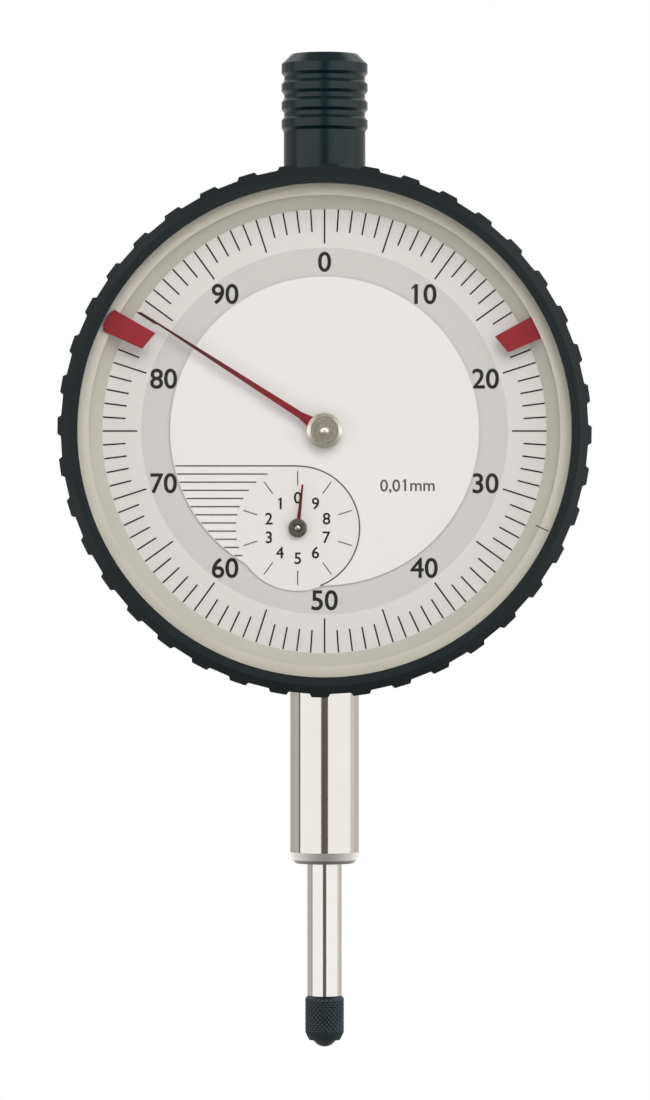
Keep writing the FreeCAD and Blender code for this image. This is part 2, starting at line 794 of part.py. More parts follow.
def hairspring():
    """Flat spiral made of half turns whose radius grows by half a pitch each."""
    half_turns = int(round(2 * hairspring_turns))
    growth = (hairspring_outer_radius - hairspring_inner_radius) / half_turns
    front = hairspring_back() + hairspring_width
    x, z = take_up_place()

    def arc(step, offset):
        radius = hairspring_inner_radius + (step + 0.5) * growth + offset
        side = 1 if step % 2 else -1
        centre_x = x - side * growth / 2
        start = Vector(centre_x + side * radius, -front, z)
        middle = Vector(centre_x, -front, z + side * radius)
        end = Vector(centre_x - side * radius, -front, z)
        return start, middle, end

    def arcs(offset):
        return [arc(step, offset) for step in range(half_turns)]

    outer = arcs(hairspring_thickness / 2)
    inner = arcs(-hairspring_thickness / 2)
    edges = [Part.Arc(*points).toShape() for points in outer]
    edges.append(Part.LineSegment(outer[-1][2], inner[-1][2]).toShape())
    edges += [Part.Arc(end, middle, start).toShape() for start, middle, end in inner[::-1]]
    edges.append(Part.LineSegment(inner[0][0], outer[0][0]).toShape())
    return Part.Face(Part.Wire(edges)).extrude(Vector(0, hairspring_width, 0))


def hairspring_stud():
    """Post on the base plate that pins the hairspring's outer end."""
    half_turns = int(round(2 * hairspring_turns))
    side = -1 if half_turns % 2 == 0 else 1
    reach = hairspring_outer_radius + hairspring_thickness / 2 + stud_diameter / 2
    place = (take_up_x + side * reach, take_up_z)
    return rod_y(stud_diameter / 2, base_plate_front,
                 hairspring_back() + hairspring_width + pinion_side_play, place)


# --- spindle, its guide and its spring

def spindle():
    """Ground spindle with rack, tapped lower end and threaded top."""
    thread = contact_thread_diameter / 2
    stud = cap_thread_diameter / 2 - thread_clearance
    stud_top = cap_ceiling + cap_thread_length - thread_clearance
    body = turned_z([(0, contact_top + contact_thread_length), (thread, contact_top + contact_thread_length),
                     (thread, contact_top), (spindle_radius, contact_top),
                     (spindle_radius, cap_ceiling), (stud, cap_ceiling), (stud, stud_top),
                     (0, stud_top)])
    body = body.cut(rack_cutter())
    hole = Part.makeCylinder(guide_pin_diameter / 2, 2 * spindle_radius,
                             Vector(spindle_radius - guide_pin_depth, 0, guide_pin_height),
                             Vector(1, 0, 0))
    return body.cut(hole)


def rack_cutter():
    """Flat with tooth gaps, one gap opposite the pinion when the spindle is fully out."""
    pitch = math.pi * rack_module
    slope = math.tan(math.radians(pressure_angle))
    addendum = leaf_addendum * rack_module
    dedendum = leaf_dedendum * rack_module
    tip_x = rack_line_x - addendum
    root_x = rack_line_x + dedendum
    outside = -spindle_radius - free_clearance
    gaps_above = rack_spare_gaps
    gaps_below = int(math.ceil(travel / pitch)) + rack_spare_gaps
    half_gap = (pitch / 2 + backlash) / 2
    low = counter_z - gaps_below * pitch - half_gap - rack_run_out
    high = counter_z + gaps_above * pitch + half_gap + rack_run_out
    width = 2 * spindle_radius
    cutter = Part.makeBox(tip_x - outside, width, high - low, Vector(outside, -width / 2, low))
    for step in range(-gaps_below, gaps_above + 1):
        middle = counter_z + step * pitch
        wide = half_gap + addendum * slope
        narrow = half_gap - dedendum * slope
        points = [Vector(tip_x, -width / 2, middle - wide), Vector(root_x, -width / 2, middle - narrow),
                  Vector(root_x, -width / 2, middle + narrow), Vector(tip_x, -width / 2, middle + wide)]
        face = Part.Face(Part.makePolygon(points + points[:1]))
        cutter = cutter.fuse(face.extrude(Vector(0, width, 0)))
    return cutter


def guide_pin():
    """Pin across the spindle that runs in the rail and carries the spring."""
    start = spindle_radius - guide_pin_depth
    return Part.makeCylinder(guide_pin_diameter / 2, guide_pin_end - start,
                             Vector(start, 0, guide_pin_height), Vector(1, 0, 0))


def spindle_guide_rail():
    """Slotted rail behind the base plate that keeps the spindle from turning."""
    low, high = rail_bounds()
    rail = block(rail_near, rail_far, -rail_back, base_plate_back,
                 low - rail_end_wall, high + rail_end_wall)
    half = guide_pin_diameter / 2 + rail_slot_clearance
    rail = rail.cut(block(rail_near, rail_far, -half, half, low, high))
    hole = small_screw_diameter / 2 + screw_clearance
    tip = base_plate_front - small_screw_length - screw_clearance
    for place in rail_screw_places():
        rail = rail.cut(rod_y(hole, tip, base_plate_back, place))
    return rail


def stop_collar():
    """Collar pressed on the spindle that lands on the bumper washer."""
    bottom = shank_inner_end + bumper_thickness
    top = bottom + stop_collar_thickness
    outer = stop_collar_diameter / 2
    return turned_z([(spindle_radius, bottom), (outer, bottom), (outer, top), (spindle_radius, top)])


def spring_anchor_post():
    """Headed post behind the base plate for the spring's lower eye."""
    place = (spring_x, spring_anchor_height)
    post = rod_y(spring_anchor_diameter / 2, -spring_anchor_end, base_plate_back, place)
    head = rod_y(spring_anchor_head / 2, -spring_anchor_end - 2 * spring_wire,
                 -spring_anchor_end, place)
    return post.fuse(head)


def return_spring():
    """Close-wound tension spring: ringed barrel with a wire eye at each end."""
    wire = spring_wire / 2
    eye = spring_eye_diameter / 2 - wire
    play = thread_clearance
    upper_eye = guide_pin_height + guide_pin_diameter / 2 + play - eye + wire
    lower_eye = spring_anchor_height - spring_anchor_diameter / 2 - play + eye - wire
    low = lower_eye + eye - wire / 2
    high = upper_eye - eye + wire / 2
    outer = spring_diameter / 2
    pitch = (high - low) / spring_coils
    outline = [(outer - spring_wire, low)]
    for coil in range(spring_coils):
        outline.append((outer - wire, low + coil * pitch))
        outline.append((outer, low + (coil + 0.5) * pitch))
    outline += [(outer - wire, high), (outer - spring_wire, high)]
    barrel = turned_z(outline, (spring_x, 0.0))
    end_cap = spring_wire
    for bottom in (low, high - end_cap):
        barrel = barrel.fuse(Part.makeCylinder(outer - wire, end_cap, Vector(spring_x, 0, bottom)))
    upper = wire_eye(Vector(spring_x, 0, upper_eye), Vector(1, 0, 0), eye, wire)
    lower = wire_eye(Vector(spring_x, 0, lower_eye), Vector(0, 1, 0), eye, wire)
    return barrel.fuse(upper).fuse(lower)


def lifting_cap():
    """Ringed cap screwed on the spindle's top; its skirt slides over the neck tube."""
    bore = neck_diameter / 2 + cap_bore_clearance
    skirt = cap_skirt_diameter / 2
    band = cap_diameter / 2
    groove = cap_groove_diameter / 2
    chamfer = cap_top_chamfer
    outline = [(bore, cap_bottom), (skirt, cap_bottom)]
    inner = skirt
    half = cap_band_height / 2
    flank = cap_band_flank
    for number in range(cap_band_count - 1):
        middle = cap_bottom + cap_first_band + number * cap_band_pitch
        low = middle - half
        high = middle + half
        outline += [(inner, low - flank), (band, low), (band, high), (groove, high + flank)]
        inner = groove
    last = cap_bottom + cap_first_band + (cap_band_count - 1) * cap_band_pitch - half
    outline += [(groove, last - flank), (band, last), (band, cap_top - chamfer),
                (band - chamfer, cap_top), (0, cap_top)]
    thread = cap_thread_diameter / 2
    hole_top = cap_ceiling + cap_thread_length
    outline += [(0, hole_top), (thread, hole_top), (thread, cap_ceiling), (bore, cap_ceiling)]
    return turned_z(outline)


def contact_body():
    """Contact point's black body with its threaded stub."""
    radius = contact_diameter / 2
    tip = contact_tip_diameter / 2
    stub = contact_thread_diameter / 2 - thread_clearance
    chamfer = contact_chamfer
    low = contact_top - contact_length
    taper_end = low - contact_taper_length
    body = turned_z([(0, contact_top + contact_thread_length - thread_clearance),
                     (0, taper_end), (tip, taper_end), (radius, low),
                     (radius, contact_top - chamfer), (radius - chamfer, contact_top),
                     (stub, contact_top), (stub, contact_top + contact_thread_length - thread_clearance)])
    return body.cut(ball_solid())


def ball_solid():
    bottom = contact_top - contact_length - contact_taper_length - ball_reach
    return Part.makeSphere(ball_diameter / 2, Vector(0, 0, bottom + ball_diameter / 2))


def contact_ball():
    """Hardened ball set in the contact's end."""
    return ball_solid()


# --- bezel and dial

def bezel_ring():
    """Black ring with trapezoid grip lobes, a chamfered front and a lip over the crystal."""
    crest = bezel_diameter / 2
    valley = crest - lobe_depth
    pitch = 360.0 / lobe_count
    half_crest = lobe_pitch_share * pitch / 2
    half_valley = valley_pitch_share * pitch / 2
    outline = []
    for lobe in range(lobe_count):
        middle = lobe_start_angle + lobe * pitch
        outline += [clock_point(middle - half_crest, crest), clock_point(middle + half_crest, crest),
                    clock_point(middle + pitch / 2 - half_valley, valley),
                    clock_point(middle + pitch / 2 + half_valley, valley)]
    lobes = plate_y(outline, bezel_back, bezel_front)
    opening = bezel_opening_diameter / 2
    rim = opening + bezel_rim_width
    chamfer = crest - rim
    bore = bezel_bore_radius
    middle = (bezel_back + case_depth_front) / 2
    half_groove = spring_wire_diameter / 2 + screw_clearance
    groove = bore + half_groove
    envelope = turned_y([
        (bore, bezel_back), (crest - lobe_depth, bezel_back), (crest, bezel_back + lobe_depth),
        (crest, bezel_front - chamfer), (rim, bezel_front), (opening, bezel_front),
        (opening, crystal_front), (bore, crystal_front), (bore, middle + half_groove),
        (groove, middle + half_groove), (groove, middle - half_groove), (bore, middle - half_groove)])
    return lobes.common(envelope)


def crystal():
    """Clear window behind the bezel's lip, with a small chamfer on its front edge."""
    radius = ring_fit_radius
    chamfer = crystal_chamfer
    return turned_y([(0, crystal_back), (radius, crystal_back), (radius, crystal_front - chamfer),
                     (radius - chamfer, crystal_front), (0, crystal_front)])


def crystal_gasket():
    """Gasket between the crystal and the silver ring."""
    radius = ring_fit_radius
    return ring_y(radius, radius - crystal_gasket_width, silver_front, crystal_back)


def silver_ring():
    """Bright ring below the crystal, with a rear rim that leaves a slit for a marker."""
    radius = ring_fit_radius
    inner = silver_ring_inner_diameter / 2
    wall = radius - marker_slit_wall
    return turned_y([(inner, silver_back), (wall, silver_back), (wall, cone_front),
                     (radius, cone_front), (radius, silver_front), (inner, silver_front)])


def cone_ring():
    """Grey ring whose inner cone leads down to the scale."""
    radius = ring_fit_radius
    top = silver_ring_inner_diameter / 2
    foot = cone_foot_diameter / 2
    return turned_y([(foot, dial_face), (radius, dial_face), (radius, cone_front),
                     (top, cone_front), (foot, dial_face + cone_foot_height)])


def scale_ring():
    """Printed ring with the hundred divisions, turning with the bezel."""
    return ring_y(ring_fit_radius, scale_ring_inner_diameter / 2, scale_back, dial_face)


def scale_retaining_ring():
    """Ring pressed in the bezel behind the scale ring."""
    radius = ring_fit_radius
    return ring_y(radius, radius - retaining_ring_width, retaining_back, scale_back)


def centre_dial():
    """Fixed disc of the dial with a round lobe for the turns counter, on two feet."""
    disc = rod_y(centre_dial_diameter / 2, centre_dial_back, centre_dial_front)
    lobe = rod_y(turns_counter_dial_radius, centre_dial_back, centre_dial_front, counter_place())
    dial = disc.fuse(lobe).removeSplitter()
    hole = arbor_diameter / 2
    for place in ((0.0, dial_height), counter_place()):
        dial = dial.cut(rod_y(hole, centre_dial_back, centre_dial_front, place))
    for angle in dial_foot_angles:
        foot = rod_y(dial_foot_diameter / 2, bridge_back, centre_dial_back,
                     clock_point(angle, dial_foot_circle))
        dial = dial.fuse(foot)
    return dial


# --- pointers and markers

def main_pointer():
    """Red blade, slightly tapered, broad at the hub."""
    root = pointer_root_width / 2
    waist = pointer_waist_width / 2
    tip = pointer_tip_width / 2
    stations = [(-pointer_tail, -root, root), (pointer_root_reach, -root, root),
                (pointer_waist_reach, -waist, waist), (pointer_length, -tip, tip)]
    needle = blade(pointer_angle, stations, pointer_face, pointer_face + pointer_thickness)
    hole = rod_y(front_pivot_diameter / 2, pointer_face, pointer_face + pointer_thickness)
    return needle.cut(hole)


def pointer_hub():
    """Silver cap over the pointer's root, pressed on the centre arbor."""
    outer = pointer_hub_diameter / 2
    inner = front_pivot_diameter / 2
    back = pointer_face + pointer_thickness
    front = pointer_face + pointer_hub_height
    chamfer = pointer_hub_chamfer
    return turned_y([(inner, back), (outer, back), (outer, front - chamfer),
                     (outer - chamfer, front), (inner, front)])


def counter_pointer():
    """Small red blade on a round dark hub."""
    root = counter_pointer_root_width / 2
    tip = counter_pointer_tip_width / 2
    back = counter_pointer_face
    front = back + pointer_thickness
    stations = [(0, -root, root), (counter_pointer_length, -tip, tip)]
    needle = blade(counter_pointer_angle, stations, back, front, counter_place())
    return needle.cut(rod_y(counter_hub_diameter / 2, back, front, counter_place()))


def counter_hub():
    """Dark hub of the counter's pointer, pressed on the rack pinion's arbor."""
    return ring_y(counter_hub_diameter / 2, front_pivot_diameter / 2, counter_pointer_face,
                  counter_pointer_face + counter_hub_height, counter_place())


def tolerance_marker(angle, outer_radius, back, mirror):
    """Thin red tongue whose inner end is cut at a slant."""
    outer = marker_outer_width / 2
    inner = marker_inner_width / 2
    near = marker_inner_radius
    far = near + marker_slant
    curve = outer ** 2 / (2 * outer_radius)
    stations = [(near, -inner, inner), (outer_radius - curve, -outer, outer)]
    tongue = blade(angle, stations, back, back + marker_thickness)
    slant = [(near, -inner * 2, inner * 2), (far, inner * 2 * mirror, inner * 2 * mirror)]
    return tongue.cut(blade(angle, slant, back, back + marker_thickness))


def tolerance_marker_left():
    """Marker that runs between the crystal and the silver ring."""
    back = silver_front + (crystal_gasket_height - marker_thickness) / 2
    front = back + marker_thickness
    tongue = tolerance_marker(marker_left_angle, marker_left_outer_radius, back, -1)
    rounding = marker_left_outer_radius - marker_left_end_radius
    wide = marker_outer_width
    corners = blade(marker_left_angle, [(rounding, -wide, wide), (marker_left_outer_radius, -wide, wide)],
                    back, front)
    end = rod_y(marker_left_end_radius, back, front, clock_point(marker_left_angle, rounding))
    return tongue.cut(corners.cut(end))


def tolerance_marker_right():
    """Marker that runs in the slit below the silver ring."""
    back = cone_front + (marker_slit_height - marker_thickness) / 2
    return tolerance_marker(marker_right_angle, marker_right_outer_radius, back, 1)


parts = {
    "case_body": case_body, "mounting_shank": mounting_shank, "shank_guide_bush": shank_guide_bush,
    "bumper_washer": bumper_washer, "neck_tube": neck_tube, "back_cover": back_cover,
    "back_cover_gasket": back_cover_gasket, "back_cover_screws": back_cover_screws,
    "bezel_spring_ring": bezel_spring_ring, "base_plate": base_plate,
    "base_plate_screws": base_plate_screws, "small_movement_screws": small_movement_screws,
    "bridge_pillars": bridge_pillars, "bridge_screws": bridge_screws,
    "movement_bridge": movement_bridge, "pivot_jewels": pivot_jewels,
    "rack_pinion_cock": rack_pinion_cock, "rack_pinion_arbor": rack_pinion_arbor,
    "counter_wheel": counter_wheel, "take_up_wheel": take_up_wheel, "centre_arbor": centre_arbor,
    "take_up_arbor": take_up_arbor, "hairspring_collet": hairspring_collet,
    "hairspring": hairspring, "hairspring_stud": hairspring_stud, "spindle": spindle,
    "guide_pin": guide_pin, "spindle_guide_rail": spindle_guide_rail, "stop_collar": stop_collar,
    "spring_anchor_post": spring_anchor_post, "return_spring": return_spring,
    "lifting_cap": lifting_cap, "contact_body": contact_body, "contact_ball": contact_ball,
    "bezel_ring": bezel_ring, "crystal": crystal, "crystal_gasket": crystal_gasket,
    "silver_ring": silver_ring, "cone_ring": cone_ring, "scale_ring": scale_ring,
    "scale_retaining_ring": scale_retaining_ring, "centre_dial": centre_dial,
    "main_pointer": main_pointer, "pointer_hub": pointer_hub, "counter_pointer": counter_pointer,
    "counter_hub": counter_hub, "tolerance_marker_left": tolerance_marker_left,
    "tolerance_marker_right": tolerance_marker_right,
}

os.makedirs("parts", exist_ok=True)
for name, make in parts.items():
    shape = make()
    shape.exportStep("parts/" + name + ".step")
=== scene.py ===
import bpy
import bmesh
import math
from mathutils import Matrix, Vector


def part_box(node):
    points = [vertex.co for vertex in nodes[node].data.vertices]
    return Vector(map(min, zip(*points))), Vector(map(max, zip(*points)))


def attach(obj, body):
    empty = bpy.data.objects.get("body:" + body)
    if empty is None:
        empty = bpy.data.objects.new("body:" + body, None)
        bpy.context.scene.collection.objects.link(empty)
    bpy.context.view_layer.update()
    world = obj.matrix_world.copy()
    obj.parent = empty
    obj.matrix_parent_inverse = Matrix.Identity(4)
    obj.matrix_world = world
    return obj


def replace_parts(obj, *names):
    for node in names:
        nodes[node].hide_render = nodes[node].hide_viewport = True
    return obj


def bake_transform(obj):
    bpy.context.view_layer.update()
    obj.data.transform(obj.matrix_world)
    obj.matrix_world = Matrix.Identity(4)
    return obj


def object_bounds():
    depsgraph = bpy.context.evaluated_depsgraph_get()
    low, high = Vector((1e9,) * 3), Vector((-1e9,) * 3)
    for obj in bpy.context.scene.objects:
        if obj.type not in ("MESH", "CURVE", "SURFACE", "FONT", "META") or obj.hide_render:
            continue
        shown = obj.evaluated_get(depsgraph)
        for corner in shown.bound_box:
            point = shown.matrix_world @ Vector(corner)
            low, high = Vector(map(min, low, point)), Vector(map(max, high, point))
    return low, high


# Dial indicator dressed for its portrait. Everything is in metres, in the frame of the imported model.
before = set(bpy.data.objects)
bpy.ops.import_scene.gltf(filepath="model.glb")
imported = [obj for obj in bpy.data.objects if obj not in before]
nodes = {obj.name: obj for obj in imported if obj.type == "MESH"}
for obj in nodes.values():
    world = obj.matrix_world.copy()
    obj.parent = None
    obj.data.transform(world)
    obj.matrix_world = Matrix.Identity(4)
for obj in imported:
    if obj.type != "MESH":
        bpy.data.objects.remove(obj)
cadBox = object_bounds()
mm = 0.001


def middle(node):  # centre of a node's box
    low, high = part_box(node)
    return (low + high) / 2


dialCentre = middle("bezel_ring")
counterCentre = middle("counter_hub")
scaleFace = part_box("scale_ring")[0].y
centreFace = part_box("centre_dial")[0].y
spindleAxis = Vector((0, 0, 0))


def hexColour(code):  # sRGB hex to linear
    channels = [int(code[place:place + 2], 16) / 255 for place in (0, 2, 4)]
    linear = [c / 12.92 if c <= 0.04045 else ((c + 0.055) / 1.055) ** 2.4 for c in channels]
    return (*linear, 1)


def newObject(name, data):  # linked into the scene
    thing = bpy.data.objects.new(name, data)
    bpy.context.scene.collection.objects.link(thing)
    return thing


def meshFrom(build, name):  # a built form as a plain mesh
    mesh = bpy.data.meshes.new(name)
    build.to_mesh(mesh)
    build.free()
    return mesh


def evaluatedMesh(holder):  # what the holder's curve or modifier makes; the holder itself goes
    mesh = bpy.data.meshes.new_from_object(holder.evaluated_get(bpy.context.evaluated_depsgraph_get()))
    bpy.data.objects.remove(holder)
    return mesh


def perMetre(size):  # features per metre for a pattern whose marks are size mm apart
    return 1 / (size * mm)


def addNode(tree, kind, inputs=None, **settings):  # one node with its settings, values and links
    node = tree.nodes.new(kind)
    for name, value in settings.items():
        setattr(node, name, value)
    for name, value in (inputs or {}).items():
        if isinstance(value, bpy.types.NodeSocket):
            tree.links.new(value, node.inputs[name])
        else:
            node.inputs[name].default_value = value
    return node


def newMaterial(name):
    material = bpy.data.materials.new(name)
    material.use_nodes = True
    material.node_tree.nodes.clear()
    return material, material.node_tree


def closeMaterial(tree, shader):
    addNode(tree, "ShaderNodeOutputMaterial", {"Surface": shader})


def shade(tree, colours, factor):  # colour that drifts between two hex codes
    ramp = addNode(tree, "ShaderNodeMix", {0: factor}, data_type="RGBA")
    ramp.inputs[6].default_value = hexColour(colours[0])
    ramp.inputs[7].default_value = hexColour(colours[1])
    return ramp.outputs[2]


def tinted(tree, factor, colour, code):  # a colour socket that gives way to a hex code
    mixed = addNode(tree, "ShaderNodeMix", {0: factor, 6: colour}, data_type="RGBA")
    mixed.inputs[7].default_value = hexColour(code)
    return mixed.outputs[2]


def radiusFrom(tree, place, centre):  # distance from an axis along y through the centre, in metres
    shifted = addNode(tree, "ShaderNodeMapping", {"Vector": place, "Location": -centre})
    flat = addNode(tree, "ShaderNodeVectorMath", {0: shifted.outputs[0], 1: (1, 0, 1)}, operation="MULTIPLY")
    return addNode(tree, "ShaderNodeVectorMath", {0: flat.outputs[0]}, operation="LENGTH").outputs["Value"]


print("materials")

mouldSpread = 0.06  # the grain changes the roughness by this much up and down
toolMarks = dict(along=(0.02, 0.02, 1), depth=0.004, smooth=0.8, rough=1.25)  # rings along z, depth in mm


def mouldedPlastic(name, finish):  # injection moulded: a fine spark-eroded grain breaks up the shine
    material, tree = newMaterial(name)
    place = addNode(tree, "ShaderNodeTexCoord").outputs["Object"]
    grain = addNode(tree, "ShaderNodeTexNoise", {"Vector": place, "Scale": perMetre(finish["grain"]), "Detail": 3.0})
    drift = addNode(tree, "ShaderNodeTexNoise", {"Vector": place, "Scale": perMetre(finish["drift"]), "Detail": 2.0})
    bump = addNode(tree, "ShaderNodeBump", {"Height": grain.outputs[0], "Strength": finish["relief"],
                                            "Distance": finish["depth"] * mm})
    rough = addNode(tree, "ShaderNodeMapRange", {
        "Value": grain.outputs[0], "To Min": finish["roughness"] - mouldSpread,
        "To Max": finish["roughness"] + mouldSpread})
    colour = shade(tree, finish["colours"], drift.outputs[0])
    if "tip" in finish:  # the colour deepens from one radius to another
        near, far, tint = finish["tip"]
        share = addNode(tree, "ShaderNodeMapRange", {"Value": radiusFrom(tree, place, dialCentre),
                                                     "From Min": near * mm, "From Max": far * mm})
        colour = tinted(tree, share.outputs[0], colour, tint)
    shader = addNode(tree, "ShaderNodeBsdfPrincipled", {
        "Base Color": colour, "Roughness": rough.outputs[0],
        "IOR": finish["ior"], "Specular IOR Level": finish["specular"], "Normal": bump.outputs[0]})
    closeMaterial(tree, shader.outputs[0])
    return material


def machinedMetal(name, finish):  # tool marks run round the axis the piece was turned or ground on
    material, tree = newMaterial(name)
    place = addNode(tree, "ShaderNodeTexCoord").outputs["Object"]
    if finish["axis"] == "y":
        radius = radiusFrom(tree, place, finish["centre"])
        along = addNode(tree, "ShaderNodeSeparateXYZ", {0: place})
        marks = addNode(tree, "ShaderNodeCombineXYZ", {0: radius, 1: along.outputs["Y"]})
    else:
        marks = addNode(tree, "ShaderNodeVectorMath", {0: place, 1: toolMarks["along"]}, operation="MULTIPLY")
    lines = addNode(tree, "ShaderNodeTexNoise", {"Vector": marks.outputs[0], "Scale": perMetre(finish["marks"]),
                                                 "Detail": 2.0})
    cloud = addNode(tree, "ShaderNodeTexNoise", {"Vector": place, "Scale": perMetre(finish["drift"])})
    bump = addNode(tree, "ShaderNodeBump", {"Height": lines.outputs[0], "Strength": finish["relief"],
                                            "Distance": toolMarks["depth"] * mm})
    if "dome" in finish:  # a burnished pivot end is slightly domed: its slope grows with the radius
        square = addNode(tree, "ShaderNodeMath", {0: radius, 1: 2}, operation="POWER")
        fall = addNode(tree, "ShaderNodeMath", {0: square.outputs[0], 1: -0.5 / (finish["dome"] * mm)},
                       operation="MULTIPLY")
        bump = addNode(tree, "ShaderNodeBump", {"Height": fall.outputs[0], "Strength": 1.0, "Distance": 1.0,
                                                "Normal": bump.outputs[0]})
    rough = addNode(tree, "ShaderNodeMapRange", {
        "Value": lines.outputs[0], "To Min": finish["roughness"] * toolMarks["smooth"],
        "To Max": finish["roughness"] * toolMarks["rough"]})
    shader = addNode(tree, "ShaderNodeBsdfPrincipled", {
        "Base Color": shade(tree, finish["colours"], cloud.outputs[0]), "Metallic": finish.get("metallic", 1.0),
        "Roughness": rough.outputs[0], "Normal": bump.outputs[0]})
    closeMaterial(tree, shader.outputs[0])
    return material


def printedLacquer(name, finish):  # sprayed sheet aluminium: satin, with a pale grey printed ring
    material, tree = newMaterial(name)
    place = addNode(tree, "ShaderNodeTexCoord").outputs["Object"]
    speckle = addNode(tree, "ShaderNodeTexNoise", {"Vector": place, "Scale": perMetre(finish["grain"]),
                                                   "Detail": 2.0})
    radii = [radiusFrom(tree, place, centre) for centre in (dialCentre, counterCentre)]
    colour = shade(tree, finish["paper"], speckle.outputs[0])
    for radius, low, high, tint in finish["rings"]:
        inside = addNode(tree, "ShaderNodeMath", {0: radii[radius], 1: low * mm}, operation="GREATER_THAN")
        within = addNode(tree, "ShaderNodeMath", {0: radii[radius], 1: high * mm}, operation="LESS_THAN")
        both = addNode(tree, "ShaderNodeMath", {0: inside.outputs[0], 1: within.outputs[0]}, operation="MULTIPLY")
        colour = tinted(tree, both.outputs[0], colour, tint)
    bump = addNode(tree, "ShaderNodeBump", {"Height": speckle.outputs[0], "Strength": finish["relief"],
                                            "Distance": finish["depth"] * mm})
    shader = addNode(tree, "ShaderNodeBsdfPrincipled", {
        "Base Color": colour, "Roughness": finish["roughness"], "Specular IOR Level": finish["specular"],
        "Normal": bump.outputs[0]})
    closeMaterial(tree, shader.outputs[0])
    return material


def castAcrylic(name, finish):  # clear cast sheet: almost no tint, bends light a little at its chamfer
    material, tree = newMaterial(name)
    place = addNode(tree, "ShaderNodeTexCoord").outputs["Object"]
    haze = addNode(tree, "ShaderNodeTexNoise", {"Vector": place, "Scale": perMetre(finish["drift"])})
    rough = addNode(tree, "ShaderNodeMapRange", {"Value": haze.outputs[0], "To Min": 0.0,
                                                 "To Max": finish["haze"]})
    clear = addNode(tree, "ShaderNodeBsdfPrincipled", {
        "Base Color": hexColour(finish["tint"]), "Roughness": rough.outputs[0], "IOR": finish["ior"],
        "Transmission Weight": 1.0})
    passing = addNode(tree, "ShaderNodeBsdfTransparent", {"Color": hexColour(finish["shade"])})
    rays = addNode(tree, "ShaderNodeLightPath")
    shadow = addNode(tree, "ShaderNodeMath", {0: rays.outputs["Is Shadow Ray"],
                                              1: rays.outputs["Is Diffuse Ray"]}, operation="MAXIMUM")
    both = addNode(tree, "ShaderNodeMixShader", {0: shadow.outputs[0], 1: clear.outputs[0], 2: passing.outputs[0]})
    closeMaterial(tree, both.outputs[0])
    return material


plastics = {
    # glass-filled nylon, moulded: deep blue-black, a soft sheen on the edges of the grip
    "mouldedNylonBezel": dict(colours=("191e20", "1f2527"), grain=0.22, drift=9, relief=0.25, depth=0.02,
                              roughness=0.38, ior=1.53, specular=0.2),
    # the same nylon on the cap, a little paler and greener where it is handled
    "mouldedNylonCap": dict(colours=("06191c", "0d2124"), grain=0.2, drift=5, relief=0.22, depth=0.02,
                            roughness=0.24, ior=1.53, specular=0.42),
    # nitrile rubber, pressed: dull and slightly grey
    "pressedRubber": dict(colours=("1c1c1d", "262627"), grain=0.1, drift=3, relief=0.3, depth=0.02,
                          roughness=0.75, ior=1.52, specular=0.3),
    # stove enamel, sprayed: signal red with a low gloss
    "sprayedEnamelRed": dict(colours=("8f2831", "9b2e37"), grain=0.12, drift=1.5, relief=0.1, depth=0.01,
                             roughness=0.4, ior=1.5, specular=0.1),
    # the same enamel on the long pointer, laid thicker: it deepens to brown at the thin tip
    "sprayedEnamelPointer": dict(colours=("7d2029", "86262f"), grain=0.12, drift=1.5, relief=0.1, depth=0.01,
                                 roughness=0.45, ior=1.5, specular=0.1, tip=(7, 19, "4c2c2d")),
    # the same enamel over a blackened blank: the small pointer reads as a dark red brown
    "sprayedEnamelDark": dict(colours=("5a141c", "641922"), grain=0.12, drift=1.5, relief=0.1, depth=0.01,
                              roughness=0.45, ior=1.5, specular=0.1),
    # powder-coated zinc casting: satin dark grey with a faint orange peel
    "powderCoatedCase": dict(colours=("2e3235", "34393c"), grain=0.5, drift=8, relief=0.3, depth=0.03,
                             roughness=0.45, ior=1.5, specular=0.45),
    # screen-printing ink: matt charcoal
    "screenInk": dict(colours=("1c1c1c", "252525"), grain=0.05, drift=0.6, relief=0.1, depth=0.003,
                      roughness=0.6, ior=1.5, specular=0.2),
    # the same ink thinned to grey for the counter's rays
    "screenInkGrey": dict(colours=("525250", "5e5e5c"), grain=0.05, drift=0.6, relief=0.1, depth=0.003,
                          roughness=0.6, ior=1.5, specular=0.2),
    # synthetic ruby, lapped: deep red and glossy
    "lappedRuby": dict(colours=("8c1030", "a3183c"), grain=0.3, drift=0.6, relief=0.02, depth=0.002,
                       roughness=0.08, ior=1.76, specular=0.5),
}
